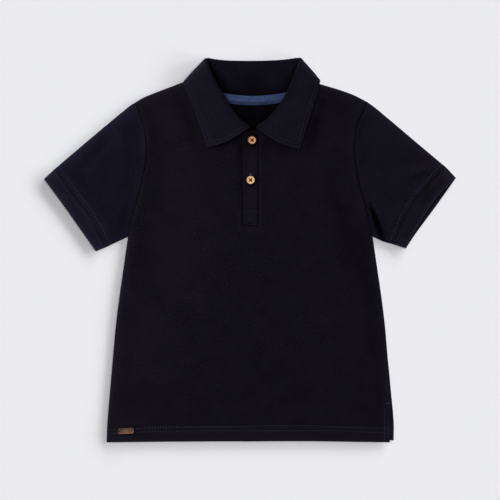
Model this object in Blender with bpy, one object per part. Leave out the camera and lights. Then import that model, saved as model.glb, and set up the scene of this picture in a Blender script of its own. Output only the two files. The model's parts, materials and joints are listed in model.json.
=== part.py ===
"""A child's short-sleeved polo shirt, laid flat on its back, built as the pieces that it is sewn from.

Run it with blender --background --python part.py, or from Blender's text editor.

X runs from the wearer's right to the wearer's left, Y from the hem to the collar, and Z up from the surface that
the shirt lies on. Tailoring sizes are in millimetres, and a mesh turns them into metres as it is made. The tables
of one half of the shirt give each point's distance out from the centre line and its height up the shirt.
"""
import math

import bpy
import numpy as np

MM = 0.001

# Cloth and trims
CLOTH = 1.2  # pique of the panels, sleeves and collar
HEM_EXTRA = 0.5  # how much prouder the turned-up hem is
PLACKET = 1.8  # pique folded double
TAPE = 1.0
PLATE = 1.0
GAP = 0.3  # between pieces at a seam
LAYER_GAP = 0.4  # between the back and the front at the folded edges
CLEARANCE = 0.45  # between pieces that curve differently
NECK_CLEARANCE = 0.65  # between the collar's seam and the neckline

# How the front lies on the back
LOFT = 2.6  # how far the front stands off the back, well in from the folded edges
LOFT_REACH = 6.0  # distance in from a folded edge over which it rises
HEM_LOFT = 0.45  # share of the loft left at the hem
HEM_REACH = 60.0  # height above the hem where the full loft is reached
SEAM_RIDGE = 0.5  # swelling of the cloth on both sides of an armhole seam
SEAM_RIDGE_AT = 4.0
SEAM_RIDGE_WIDTH = 3.0

# Heights up the shirt
HEM_LINE = -249.5  # at the side seams
HEM_RISE = 1.1  # how much higher the hem is at the centre
HEM_HALF = 186.0  # half of the hem's width
HEM_STITCH = -231.5
VENT_TOP = -198.5
PLACKET_FOOT = 32.0
PLACKET_HEAD = 154.6
NECK_FRONT = 155.0

# Placket, across the shirt
PLACKET_EDGE = -10.7  # its free edge
PLACKET_FOLD = 10.0  # the fold it hangs from
PLACKET_CORNER = 7.0
UNDER_PLACKET = (-15.0, 16.5, 26.0, 153.4)  # lowest and highest x, lowest and highest y

# The collar's fold
FRONT_ROLL_RADIUS = 1.9
BACK_ROLL_RADIUS = 1.3
ROLL_RISE = 1.8  # how much higher than the neck seam the stand meets the roll, at the front
LEAF_BOW = 0.9
END_DIP = 2.8  # how far the front end of the leaf curves below a straight line
END_DIP_ROWS = 3.0
FALL_LIFT = CLOTH + GAP  # the back of the neck lies on the collar's fall
FALL_LIFT_START = 22.0
FALL_LIFT_RUN = 14.0
FALL_LIFT_OUT = 102.0

SIDES = {"right": -1.0, "left": 1.0}

# Each row: out from the centre line, up the shirt. The two halves differ a little, as laid by hand.
SIDE_SEAM = {
    "right": ((186.4, HEM_LINE), (185.2, -222.0), (181.3, -176.0), (178.0, -137.0), (174.4, -98.0),
              (169.5, -59.0), (163.9, -20.0), (158.8, 17.8)),
    "left": ((185.6, HEM_LINE), (185.6, -222.0), (181.2, -176.0), (177.6, -137.0), (174.3, -98.0),
             (169.3, -59.0), (163.7, -20.0), (158.8, 17.8)),
}
# The front's own edge on the left side, where the vent lets the back show past it.
VENTED_SIDE = (
    (181.2, HEM_LINE), (181.6, -225.0), (181.8, VENT_TOP), (181.0, -176.0), (177.5, -137.0), (174.2, -98.0),
    (169.2, -59.0), (163.7, -20.0), (158.8, 17.8),
)
ARMHOLE = {
    "right": ((158.8, 17.8), (155.0, 40.0), (147.8, 61.0), (140.8, 89.0), (135.6, 120.0), (135.4, 142.0),
              (139.8, 166.0), (149.5, 191.8)),
    "left": ((158.8, 17.8), (154.2, 36.0), (150.4, 54.0), (141.0, 89.5), (135.6, 122.0), (135.4, 142.0),
             (139.6, 165.0), (152.3, 192.2)),
}
SHOULDER = {
    "right": ((149.5, 191.8), (137.6, 198.6), (116.8, 207.0), (96.0, 214.9), (88.0, 217.7), (68.9, 223.2)),
    "left": ((152.3, 192.2), (132.8, 201.9), (112.0, 209.1), (91.2, 215.2), (71.9, 220.6)),
}
SLEEVE_TOP = {
    "right": ((149.5, 191.8), (158.2, 185.5), (189.5, 159.5), (231.1, 124.4), (254.2, 105.4)),
    "left": ((152.3, 192.2), (164.0, 183.0), (195.2, 156.7), (226.4, 130.2), (253.2, 108.5)),
}
UNDERARM = {
    "right": ((158.8, 17.4), (171.4, 11.5), (187.4, 3.9)),
    "left": ((158.8, 17.8), (171.8, 11.7), (188.0, 6.8)),
}
CUFF_SEAM = {
    "right": ((187.4, 3.9), (209.2, 44.0), (231.5, 73.5), (254.2, 105.4)),
    "left": ((188.0, 6.8), (204.5, 30.8), (228.7, 68.0), (253.2, 108.5)),
}
CUFF_MOUTH = {
    "right": ((200.4, -1.5), (220.8, 27.3), (241.4, 56.4), (267.6, 92.2)),
    "left": ((202.2, 2.5), (215.8, 24.0), (241.2, 58.7), (266.8, 93.6)),
}
# The upper layer of the left cuff is drawn back from the lower one, so that its mouth gapes.
UPPER_CUFF_SEAM = {
    "right": CUFF_SEAM["right"],
    "left": ((188.0, 6.8), (194.0, 26.4), (213.5, 64.5), (253.2, 108.5)),
}
UPPER_CUFF_MOUTH = {
    "right": CUFF_MOUTH["right"],
    "left": ((202.2, 2.5), (208.8, 19.4), (227.5, 52.5), (266.8, 93.6)),
}
MOUTH_RISE = {"right": 0.0, "left": 0.7}
EDGE_WALL = 1.1 * CLOTH  # thickness of a sleeve's or cuff's folded edge
EDGE_ROUND = 0.3  # share of its height that a folded edge is rounded by, above and below
BACK_NECK = (
    (-68.9, 223.2), (-55.0, 211.2), (-37.0, 205.2), (3.0, 200.3), (43.0, 205.2), (59.0, 210.2), (71.9, 220.6),
)
FRONT_NECK = {
    "right": ((11.0, NECK_FRONT), (25.0, 159.0), (42.0, 169.0), (57.0, 184.5), (66.0, 205.0), (68.9, 223.2)),
    "left": ((10.3, NECK_FRONT), (27.0, 159.0), (45.0, 168.8), (60.0, 184.0), (69.0, 204.5), (71.9, 220.6)),
}

# The collar, from its front end round the side of the neck towards the middle of the back. Each row: how far along
# the neckline its seam is (1 is the side of the neck, 2 the middle of the back), the roll where the stand folds
# over and the free edge of the fall (each out and up), and the turn: 1 on the front layer and 0 on the back.
COLLAR = {
    "right": (
        (0.00, 0.3, 160.6, 56.2, 134.0, 1.0),
        (0.12, 6.5, 164.5, 59.2, 143.5, 1.0),
        (0.24, 13.9, 171.2, 62.2, 153.0, 1.0),
        (0.40, 25.0, 186.0, 67.0, 167.0, 1.0),
        (0.54, 34.8, 202.4, 72.6, 181.5, 1.0),
        (0.68, 44.5, 218.8, 78.2, 195.0, 1.0),
        (0.82, 51.2, 233.0, 83.4, 207.0, 1.0),
        (0.93, 55.0, 242.5, 86.2, 213.4, 1.0),
        (0.983, 56.0, 245.9, 86.8, 216.6, 1.0),
        (0.995, 56.6, 248.1, 87.0, 218.6, 0.75),
        (1.00, 56.6, 248.9, 86.6, 219.4, 0.5),
        (1.006, 56.0, 249.3, 85.7, 219.2, 0.25),
        (1.022, 54.2, 249.3, 84.0, 217.0, 0.0),
        (1.10, 51.0, 248.5, 79.0, 213.6, 0.0),
        (1.24, 44.0, 246.9, 67.0, 206.5, 0.0),
        (1.50, 30.0, 245.8, 44.0, 198.8, 0.0),
        (1.76, 15.0, 245.6, 21.0, 194.6, 0.0),
    ),
    "left": (
        (0.00, 1.4, 159.2, 64.8, 131.4, 1.0),
        (0.12, 9.5, 162.0, 67.8, 141.5, 1.0),
        (0.24, 19.5, 168.5, 71.4, 152.8, 1.0),
        (0.40, 31.0, 180.2, 75.0, 164.6, 1.0),
        (0.54, 40.8, 194.5, 79.0, 177.0, 1.0),
        (0.68, 49.2, 209.5, 84.2, 193.5, 1.0),
        (0.82, 57.2, 229.0, 88.4, 207.0, 1.0),
        (0.93, 61.4, 240.5, 89.2, 213.4, 1.0),
        (0.983, 63.2, 246.0, 90.4, 216.8, 1.0),
        (0.995, 64.1, 248.6, 90.9, 219.4, 0.75),
        (1.00, 64.2, 249.4, 90.6, 220.4, 0.5),
        (1.006, 63.5, 249.8, 89.6, 220.0, 0.25),
        (1.022, 61.6, 249.8, 87.0, 216.4, 0.0),
        (1.10, 58.0, 249.3, 81.5, 212.6, 0.0),
        (1.24, 50.0, 247.8, 69.0, 205.5, 0.0),
        (1.50, 36.0, 246.4, 47.0, 198.6, 0.0),
        (1.76, 18.0, 245.7, 24.0, 194.4, 0.0),
    ),
}
COLLAR_BACK_MIDDLE = (2.0, 0.0, 245.7, 1.0, 193.0, 0.0)
COLLAR_FRONT_END = {"right": (0.4, 155.0), "left": (1.2, 155.0)}
NECK_MIDDLE = np.array([0.0, 205.0])

# The largest folds of the upper layer. Each row: where the fold starts (x, y), where it ends (x, y), half of its
# width, and its height, which is below zero in a trough.
FOLDS = (
    (156.0, 60.0, 171.0, 16.0, 4.0, -1.9),
    (164.0, 58.0, 180.0, 20.0, 5.0, 1.2),
    (-190.0, 143.0, -225.0, 91.0, 9.0, -0.9),
    (-161.5, 171.0, -163.0, 138.0, 6.0, -0.8),
    (-172.0, 150.0, -196.0, 112.0, 9.0, 0.7),
    (-176.0, 34.0, -167.0, 22.0, 4.0, -0.8),
    (212.0, 93.0, 236.0, 104.0, 5.0, -0.9),
    (88.0, 110.0, 132.0, 91.0, 7.0, -0.6),
    (100.0, 86.0, 128.0, 60.0, 9.0, 0.6),
    (-20.0, -20.0, -60.0, -150.0, 26.0, 0.7),
    (70.0, -40.0, 110.0, -170.0, 26.0, 0.6),
)

# Where the wall has its rows and columns, as shares of a line's length
BODY_ROWS = (0.0, 0.02, 0.062, 0.071, 0.12, 0.19, 0.27, 0.35, 0.43, 0.51, 0.59, 0.67, 0.75, 0.83, 0.90, 0.96, 1.0)
ARMHOLE_ROWS = (
    0.0, 0.012, 0.035, 0.075, 0.13, 0.2, 0.29, 0.38, 0.47, 0.56, 0.65, 0.74, 0.83, 0.9, 0.955, 0.985, 1.0,
)
FRONT_COLUMNS = (0.0, 0.014, 0.034, 0.07, 0.14, 0.26, 0.42, 0.6, 0.8, 1.0)
SHOULDER_COLUMNS = (0.0, 0.05, 0.2, 0.5, 0.8, 1.0)
NECK_STEPS = 12  # along the back's neckline
FRONT_NECK_STEPS = 40  # along half of the front's neckline, before its rows are read from it
PLACKET_STEPS = 11
SLEEVE_RINGS = (0.0, 0.035, 0.08, 0.15, 0.26, 0.4, 0.55, 0.7, 0.84, 0.94, 1.0)
CUFF_RINGS = (0.0, 0.12, 0.88, 1.0)
COLLAR_STEPS = 2
STAND_STEPS = 3
LEAF_STEPS = 5
ROLL_ANGLES = (90.0, 45.0, 0.0, -45.0, -90.0)

BUTTON_PLACES = {"button_upper": (2.2, 142.5), "button_lower": (0.3, 90.9)}
# Each row: radius, height above the button's back.
BUTTON_PROFILE = ((5.3, 0.0), (6.1, 0.6), (6.1, 1.6), (5.6, 2.2), (4.7, 2.2), (4.0, 1.7))
BUTTON_SIDES = 24
BUTTON_HOLE_RADIUS = 0.75
BUTTON_HOLE_SPACING = 2.6
HOLE_SIDES = 10
HOLE_DEPTH = 6.0  # of the cutter, which passes both faces of the button

PLATE_CENTRE = (-161.4, -235.4)
PLATE_SIZE = (21.8, 8.5)
PLATE_TILT = math.radians(2.5)
PLATE_CORNER = 1.2

TAPE_WIDTH = 12.3
TAPE_ENDS = (-60.0, 63.0)
TAPE_INSET = 0.2  # from the neckline to the tape's upper edge
TAPE_STEPS = 18

# Each row: colour, roughness
FINISHES = {
    "pique_navy": ((0.0075, 0.0065, 0.0105), 0.92),
    "collar_navy": ((0.009, 0.008, 0.013), 0.92),
    "tape_blue": ((0.048, 0.073, 0.165), 0.85),
    "button_tan": ((0.60, 0.30, 0.13), 0.45),
    "plate_brown": ((0.17, 0.105, 0.06), 0.6),
}


# ---------------------------------------------------------------- lines

def run_shares(line):
    """How far along a line of straight pieces each of its points is, as a share of its length."""
    run = np.r_[0.0, np.cumsum(np.linalg.norm(np.diff(line, axis=0), axis=1))]
    return run / run[-1]


def read_line(line, places, at):
    """Points at some places along a line of straight pieces, whose own points are at the places in at."""
    return np.column_stack([np.interp(places, at, line[:, axis]) for axis in range(line.shape[1])])


def smooth_line(rows, shares, fine=24):
    """Points at the given shares of the length of a smooth curve through the rows."""
    knots = np.array(rows, float)
    ends = np.vstack([2 * knots[0] - knots[1], knots, 2 * knots[-1] - knots[-2]])
    line = [knots[0]]
    for before, start, stop, after in zip(ends, ends[1:], ends[2:], ends[3:]):
        for t in np.arange(1, fine + 1) / fine:
            line.append(0.5 * (2 * start + (stop - before) * t
                               + (2 * before - 5 * start + 4 * stop - after) * t ** 2
                               + (3 * start - before - 3 * stop + after) * t ** 3))
    line = np.array(line)
    return read_line(line, shares, run_shares(line))


def placed(rows, side):
    """Rows of one half, turned from out and up into x and y."""
    return np.array(rows, float) * (SIDES[side], 1.0)


def distance_to_line(points, line):
    """The distance from each point to a line of straight pieces."""
    nearest = np.full(points.shape[:-1], np.inf)
    for start, stop in zip(line, line[1:]):
        along = stop - start
        share = np.clip(((points - start) @ along) / (along @ along), 0.0, 1.0)
        foot = start + share[..., None] * along
        nearest = np.minimum(nearest, np.linalg.norm(points - foot, axis=-1))
    return nearest


def smooth_step(value):
    """A value from 0 to 1 with a soft start and a soft end."""
    value = np.clip(value, 0.0, 1.0)
    return value * value * (3.0 - 2.0 * value)


FOLDED_EDGES = [
    placed(rows, side)
    for side in SIDES
    for rows in (SHOULDER[side], SLEEVE_TOP[side], UNDERARM[side], SIDE_SEAM[side])
]
ARMHOLES = [placed(ARMHOLE[side], side) for side in SIDES]


# ---------------------------------------------------------------- heights of the layers

def fall_lift(points):
    """How far the back is raised where the collar's fall lies under it."""
    outs, ups = [], []
    for side in SIDES:
        rows = [row for row in COLLAR[side] if row[5] < 0.5]
        outs += [SIDES[side] * row[3] for row in rows]
        ups += [row[4] for row in rows]
    order = np.argsort(outs)
    edge = np.interp(points[..., 0], np.array(outs)[order], np.array(ups)[order])
    up = smooth_step((points[..., 1] - edge + FALL_LIFT_START) / FALL_LIFT_RUN)
    return FALL_LIFT * up * smooth_step((FALL_LIFT_OUT - np.abs(points[..., 0])) / FALL_LIFT_RUN)


def fold_height(points):
    """The sum of the large folds, each a soft ridge or trough that fades at both ends."""
    height = np.zeros(points.shape[:-1])
    for x0, y0, x1, y1, width, rise in FOLDS:
        line = np.array([[x0, y0], [x1, y1]])
        height += rise * np.exp(-(distance_to_line(points, line) / width) ** 2)
    return height


def back_middle(points):
    """Height of the middle of the back's wall."""
    return CLOTH / 2 + fall_lift(points)


def front_middle(points):
    """Height of the middle of the upper layer's wall, over the front and both sleeves."""
    edge = np.min([distance_to_line(points, line) for line in FOLDED_EDGES], axis=0)
    hem = HEM_LOFT + (1.0 - HEM_LOFT) * smooth_step((points[..., 1] - HEM_LINE) / HEM_REACH)
    loft = LOFT * (1.0 - np.exp(-edge / LOFT_REACH))
    seam = np.min([distance_to_line(points, line) for line in ARMHOLES], axis=0)
    ridge = SEAM_RIDGE * np.exp(-((seam - SEAM_RIDGE_AT) / SEAM_RIDGE_WIDTH) ** 2)
    rise = loft * hem + (ridge + fold_height(points)) * loft / LOFT
    return back_middle(points) + CLOTH + LAYER_GAP + np.maximum(rise, 0.0)


def front_top(points):
    """Height of the outside of the front, hem included."""
    hem = HEM_EXTRA * (points[..., 1] < HEM_STITCH)
    return front_middle(points) + CLOTH / 2 + hem


# ---------------------------------------------------------------- grids and solids

def patch(low, high, first, last):
    """A grid of points spread between four lines: low and high rows, first and last columns."""
    r = run_shares(first)[:, None, None]
    c = run_shares(low)[None, :, None]
    ruled = (1 - c) * first[:, None] + c * last[:, None] + (1 - r) * low[None] + r * high[None]
    corners = ((1 - r) * ((1 - c) * low[0] + c * low[-1]) + r * ((1 - c) * high[0] + c * high[-1]))
    return ruled - corners


def grid_faces(rows, columns, flip=False):
    """Faces of a grid, numbered row by row, which face up when columns run along X and rows along Y."""
    faces = []
    for r in range(rows - 1):
        for c in range(columns - 1):
            a = r * columns + c
            face = (a, a + 1, a + columns + 1, a + columns)
            faces.append(face[::-1] if flip else face)
    return faces


def joined(grids):
    """One surface from several grids whose shared edges hold the same points."""
    numbers, points, faces = {}, [], []
    for grid in grids:
        rows, columns = grid.shape[:2]
        flip = np.cross(grid[0, 1] - grid[0, 0], grid[1, 0] - grid[0, 0]) < 0
        index = []
        for point in grid.reshape(-1, 2):
            key = tuple(np.round(point, 4))
            if key not in numbers:
                numbers[key] = len(points)
                points.append(point)
            index.append(numbers[key])
        faces += [tuple(index[i] for i in face) for face in grid_faces(rows, columns, flip)]
    return np.array(points), faces


def finish(name, points, faces, finish_name):
    """A mesh object in metres with its own material."""
    mesh = bpy.data.meshes.new(name)
    mesh.from_pydata((np.array(points) * MM).tolist(), [], faces)
    mesh.validate()
    mesh.shade_smooth()
    mesh.set_sharp_from_angle(angle=math.radians(45.0))
    made = bpy.data.objects.new(name, mesh)
    bpy.context.scene.collection.objects.link(made)
    colour, roughness = FINISHES[finish_name]
    material = bpy.data.materials.new(name + "_finish")
    material.use_nodes = True
    shader = material.node_tree.nodes["Principled BSDF"]
    shader.inputs["Base Color"].default_value = (*colour, 1.0)
    shader.inputs["Roughness"].default_value = roughness
    shader.inputs["Metallic"].default_value = 0.0
    mesh.materials.append(material)
    return made


def wall(name, faces, low, high, finish_name):
    """A solid between two copies of a surface; its faces face from low to high."""
    count = len(low)
    edges = {(face[i - 1], face[i]) for face in faces for i in range(len(face))}
    rim = [(a, b) for a, b in edges if (b, a) not in edges]
    sides = [(b, a, a + count, b + count) for a, b in sorted(rim)]
    under = [tuple(i + count for i in face[::-1]) for face in faces]
    return finish(name, np.vstack([high, low]), list(faces) + under + sides, finish_name)


def flat_wall(name, points, faces, low, high, finish_name):
    """A wall whose two sides are the given heights over the same points."""
    return wall(name, faces, np.column_stack([points, low]), np.column_stack([points, high]), finish_name)


# ---------------------------------------------------------------- pieces

def side_line(side_seam, side):
    """The line from the hem up one side and its armhole to the shoulder."""
    seam = smooth_line(placed(side_seam, side), BODY_ROWS)
    armhole = smooth_line(placed(ARMHOLE[side], side), ARMHOLE_ROWS)
    return np.vstack([seam, armhole[1:]])


def hem_line(start, stop, shares):
    """The hem from one x to another, a little higher at the centre."""
    x = start + np.array(shares) * (stop - start)
    return np.column_stack([x, HEM_LINE + HEM_RISE * (1.0 - (x / HEM_HALF) ** 2)])


def slot_and_neck(side):
    """The front's inner edge above the foot of the placket, row by row, and the row at the neck's corner."""
    neck = smooth_line(placed(FRONT_NECK[side], side), np.linspace(0.0, 1.0, FRONT_NECK_STEPS + 1))
    edge = np.vstack([(neck[0, 0], PLACKET_FOOT - GAP), neck])
    at = run_shares(edge)
    shares = np.array(ARMHOLE_ROWS)
    corner = int(np.searchsorted(shares, at[1]))
    shares[corner] = at[1]
    return read_line(edge, shares, at), corner


def front_half(side):
    """Grid of one half of the front, from its side to the placket slot."""
    outer = side_line(VENTED_SIDE if side == "left" else SIDE_SEAM[side], side)
    upper, _ = slot_and_neck(side)
    low = hem_line(outer[0, 0], upper[0, 0], FRONT_COLUMNS)
    lower = low[-1] + np.array(BODY_ROWS)[:, None] * (upper[0] - low[-1])
    inner = np.vstack([lower, upper[1:]])
    outer[0] = low[0]
    high = smooth_line(placed(SHOULDER[side], side), FRONT_COLUMNS)
    return patch(low, high, outer, inner)


def make_front():
    """The front, slit for the placket, with a vent and a double hem."""
    halves = {side: front_half(side) for side in SIDES}
    body_rows = len(BODY_ROWS)
    between = np.array([0.0, 0.5, 1.0])[None, :, None]
    left_edge = halves["right"][:body_rows, -1][:, None]
    right_edge = halves["left"][:body_rows, -1][:, None]
    middle = left_edge + between * (right_edge - left_edge)
    points, faces = joined([halves["right"], middle, halves["left"]])
    height = front_middle(points)
    flat_wall("front_panel", points, faces, height - CLOTH / 2, front_top(points), "pique_navy")


def back_neck():
    """The back's neckline as the panel has it."""
    return smooth_line(BACK_NECK, np.linspace(0.0, 1.0, NECK_STEPS + 1))


def make_back():
    """The back, flat on the surface, raised only where the collar's fall lies under it."""
    first = side_line(SIDE_SEAM["right"], "right")
    last = side_line(SIDE_SEAM["left"], "left")
    right_shoulder = smooth_line(placed(SHOULDER["right"], "right"), SHOULDER_COLUMNS)
    left_shoulder = smooth_line(placed(SHOULDER["left"], "left"), SHOULDER_COLUMNS)[::-1]
    high = np.vstack([right_shoulder, back_neck()[1:-1], left_shoulder])
    low = hem_line(first[0, 0], last[0, 0], run_shares(high))
    first[0], last[0] = low[0], low[-1]
    points, faces = joined([patch(low, high, first, last)])
    middle = back_middle(points)
    flat_wall("back_panel", points, faces, middle - CLOTH / 2, middle + CLOTH / 2, "pique_navy")


def closed_loop(upper, top, lower, bottom):
    """One ring of a flattened tube: along its upper layer and back along its lower one."""
    return np.vstack([np.column_stack([upper, top]), np.column_stack([lower, bottom])[::-1]])


def tube(name, upper, lower, rise, finish_name):
    """A flattened tube: two layers over grids of rings by points, joined at both folded edges."""
    rings, around = upper.shape[:2]
    outer_loops, inner_loops = [], []
    for ring in range(rings):
        up, down = upper[ring], lower[ring]
        inset = EDGE_WALL / np.linalg.norm(up[-1] - up[0])
        shares = run_shares(up)
        inner_shares = inset + shares * (1.0 - 2.0 * inset)
        up_in = read_line(up, inner_shares, shares)
        down_in = read_line(down, inner_shares, shares)
        top = front_middle(up) + CLOTH / 2 + rise[ring]
        bottom = np.zeros(around)
        top[0] = top[-1] = (1.0 - EDGE_ROUND) * (2 * CLOTH + LAYER_GAP)
        bottom[0] = bottom[-1] = EDGE_ROUND * (2 * CLOTH + LAYER_GAP)
        ceiling = front_middle(up_in) - CLOTH / 2 + rise[ring]
        floor = np.full(around, CLOTH)
        outer_loops.append(closed_loop(up, top, down, bottom))
        inner_loops.append(closed_loop(up_in, ceiling, down_in, floor))
    loop = 2 * around
    outer = np.array(outer_loops).reshape(-1, 3)
    inner = np.array(inner_loops).reshape(-1, 3)
    faces = []
    for ring in range(rings - 1):
        for i in range(loop):
            a, b = ring * loop + i, ring * loop + (i + 1) % loop
            faces.append((a, b, b + loop, a + loop))
    if np.cross(upper[0, 1] - upper[0, 0], upper[1, 0] - upper[0, 0]) < 0:
        faces = [face[::-1] for face in faces]
    wall(name, faces, inner, outer, finish_name)


def sleeve_patch(side, seam):
    """Grid of rings by points of one layer of a sleeve, from the armhole to the cuff seam."""
    armhole = smooth_line(placed(ARMHOLE[side], side), ARMHOLE_ROWS) + (SIDES[side] * GAP, 0.0)
    cuff = smooth_line(placed(seam[side], side), ARMHOLE_ROWS)
    under = smooth_line(placed(UNDERARM[side], side), SLEEVE_RINGS)
    over = smooth_line(placed(SLEEVE_TOP[side], side), SLEEVE_RINGS)
    under[0], over[0] = armhole[0], armhole[-1]
    return patch(armhole, cuff, under, over)


def cuff_patch(side, seam, mouth):
    """Grid of rings by points of one layer of a cuff, from its seam to its mouth."""
    first = smooth_line(placed(seam[side], side), ARMHOLE_ROWS)
    last = smooth_line(placed(mouth[side], side), ARMHOLE_ROWS)
    across = last - first
    start = first + across / np.linalg.norm(across, axis=1)[:, None] * GAP
    shares = np.array(CUFF_RINGS)[:, None, None]
    return start + shares * (last - start)


def make_sleeves():
    """Both sleeves and their cuffs; the left cuff's upper layer is drawn back and stands up a little."""
    for side in SIDES:
        rise = np.array(SLEEVE_RINGS) ** 2 * MOUTH_RISE[side]
        tube("sleeve_" + side, sleeve_patch(side, UPPER_CUFF_SEAM), sleeve_patch(side, CUFF_SEAM), rise,
             "pique_navy")
        rise = MOUTH_RISE[side] * (1.0 + np.array(CUFF_RINGS))
        tube("cuff_" + side, cuff_patch(side, UPPER_CUFF_SEAM, UPPER_CUFF_MOUTH),
             cuff_patch(side, CUFF_SEAM, CUFF_MOUTH), rise, "pique_navy")


def neck_points(side, places):
    """Points of the collar's seam, just inside the neckline: 0 is the front end, 1 the side, 2 the back middle."""
    upper, corner = slot_and_neck(side)
    whole = back_neck()
    middle = len(whole) // 2
    halves = [
        np.vstack([placed([COLLAR_FRONT_END[side]], side), upper[corner:]]),
        whole[:middle + 1] if side == "right" else whole[middle:][::-1],
    ]
    line, at = [], []
    for number, half in enumerate(halves):
        at += list(number + run_shares(half))
        line += list(half)
    line, at = np.array(line), np.array(at)
    keep = np.r_[True, np.diff(at) > 0]
    line, at = line[keep], at[keep]
    along = np.gradient(line, axis=0)
    inward = np.column_stack([-along[:, 1], along[:, 0]]) / np.linalg.norm(along, axis=1)[:, None]
    inward *= np.sign(np.sum(inward * (NECK_MIDDLE - line), axis=1))[:, None]
    return read_line(line + inward * NECK_CLEARANCE, places, at)


def collar_rows():
    """The collar's rows in x and y from the right front end to the left one, each led by its neck point."""
    halves = {}
    for side in SIDES:
        rows = np.array(COLLAR[side], float)
        rows[:, 1:5:2] *= SIDES[side]
        neck = neck_points(side, rows[:, 0])
        dips = END_DIP * np.clip(1.0 - np.arange(len(rows)) / END_DIP_ROWS, 0.0, 1.0)
        halves[side] = np.column_stack([neck, rows[:, 1:], dips])
    middle = np.r_[neck_points("right", np.array([COLLAR_BACK_MIDDLE[0]]))[0], COLLAR_BACK_MIDDLE[1:], 0.0]
    table = np.vstack([halves["right"], [middle], halves["left"][::-1]])
    at = run_shares(table)
    shares = np.interp(np.arange(COLLAR_STEPS * (len(at) - 1) + 1) / COLLAR_STEPS, np.arange(len(at)), at)
    return smooth_line(table, shares)


def collar_section(row):
    """One section of the collar's middle surface, from the neck seam over the roll to the free edge."""
    neck, roll, edge = row[0:2], row[2:4], row[4:6]
    turn, dip = float(np.clip(row[6], 0.0, 1.0)), row[7]
    angle = math.pi * turn
    turn = (1.0 - math.cos(angle)) / 2.0
    neck_height = (1 - turn) * back_middle(neck) + turn * front_middle(neck)
    edge_height = (1 - turn) * CLOTH / 2 + turn * (front_middle(edge) + CLOTH + CLEARANCE)
    radius = (1 - turn) * BACK_ROLL_RADIUS + turn * FRONT_ROLL_RADIUS
    front_roll = front_middle(neck) + ROLL_RISE + FRONT_ROLL_RADIUS
    roll_height = (1 - turn) * (CLOTH / 2 + BACK_ROLL_RADIUS) + turn * front_roll
    out = roll - (neck + edge) / 2
    out = np.append(out / np.linalg.norm(out), 0.0)
    across = np.array([-out[1], out[0], 0.0])
    if across[:2] @ (NECK_MIDDLE - roll) < 0:
        across = -across
    inward = math.cos(angle) * np.array([0.0, 0.0, 1.0]) + math.sin(angle) * across
    centre = np.append(roll, roll_height) - (radius + CLOTH / 2) * out
    arc = [
        centre + radius * (math.cos(math.radians(a)) * out + math.sin(math.radians(a)) * inward)
        for a in ROLL_ANGLES
    ]
    start, stop = np.append(neck, neck_height), np.append(edge, edge_height)
    stand = [start + (arc[0] - start) * s / STAND_STEPS for s in range(STAND_STEPS)]
    leaf = []
    for s in range(1, LEAF_STEPS + 1):
        share = s / LEAF_STEPS
        swell = math.sin(math.pi * share)
        point = arc[-1] + (stop - arc[-1]) * share - inward * LEAF_BOW * swell * turn
        leaf.append(point - (0.0, dip * swell, 0.0))
    return stand + arc + leaf


def directions(grid):
    """The direction of a grid's lines at each point, the mean of the pieces before and after it."""
    piece = np.diff(grid, axis=0)
    piece /= np.linalg.norm(piece, axis=-1)[..., None]
    mean = np.concatenate([piece[:1], piece[:-1] + piece[1:], piece[-1:]])
    return mean / np.linalg.norm(mean, axis=-1)[..., None]


def make_collar():
    """The collar in one piece: a stand that rises from the neck seam and a fall that folds over it."""
    grid = np.array([collar_section(row) for row in collar_rows()])
    normal = np.cross(directions(grid.swapaxes(0, 1)).swapaxes(0, 1), directions(grid))
    normal /= np.linalg.norm(normal, axis=2)[..., None]
    high = (grid + normal * CLOTH / 2).reshape(-1, 3)
    low = (grid - normal * CLOTH / 2).reshape(-1, 3)
    wall("collar", grid_faces(*grid.shape[:2]), low, high, "collar_navy")


def make_plackets():
    """The top placket with its rounded corner, and the under placket that shows past its free edge."""
    corner = PLACKET_CORNER * np.array([0.0, 0.15, 0.5, 1.0])
    columns = np.r_[PLACKET_EDGE + corner, (PLACKET_EDGE + PLACKET_CORNER + PLACKET_FOLD) / 2, PLACKET_FOLD]
    rows = np.linspace(0.0, 1.0, PLACKET_STEPS + 1)
    drop = np.clip(PLACKET_EDGE + PLACKET_CORNER - columns, 0.0, None)
    head = PLACKET_HEAD - PLACKET_CORNER + np.sqrt(PLACKET_CORNER ** 2 - drop ** 2)
    x = np.repeat(columns[None], len(rows), axis=0)
    y = PLACKET_FOOT + rows[:, None] * (head - PLACKET_FOOT)
    points, faces = joined([np.stack([x, y], axis=2)])
    base = front_middle(points) - CLOTH / 2
    flat_wall("placket_top", points, faces, base, base + PLACKET, "pique_navy")
    x0, x1, y0, y1 = UNDER_PLACKET
    x, y = np.meshgrid(np.linspace(x0, x1, 4), np.linspace(y0, y1, PLACKET_STEPS + 1))
    points, faces = joined([np.stack([x, y], axis=2)])
    top = front_middle(points) - CLOTH / 2 - GAP
    flat_wall("placket_under", points, faces, top - CLOTH, top, "pique_navy")


def make_tape():
    """The tape that covers the back's neck seam inside."""
    neck = smooth_line(BACK_NECK, np.linspace(0.0, 1.0, 4 * TAPE_STEPS))
    x = np.linspace(*TAPE_ENDS, TAPE_STEPS + 1)
    top_edge = np.column_stack([x, np.interp(x, neck[:, 0], neck[:, 1])])
    along = np.gradient(top_edge, axis=0)
    down = np.column_stack([along[:, 1], -along[:, 0]]) / np.linalg.norm(along, axis=1)[:, None]
    rows = np.array([1.0, 0.5, 0.0])[:, None, None]
    grid = top_edge[None] + down[None] * (TAPE_INSET + rows * TAPE_WIDTH)
    points, faces = joined([grid])
    base = back_middle(points) + CLOTH / 2 + CLEARANCE
    flat_wall("neck_tape", points, faces, base, base + TAPE, "tape_blue")


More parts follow.
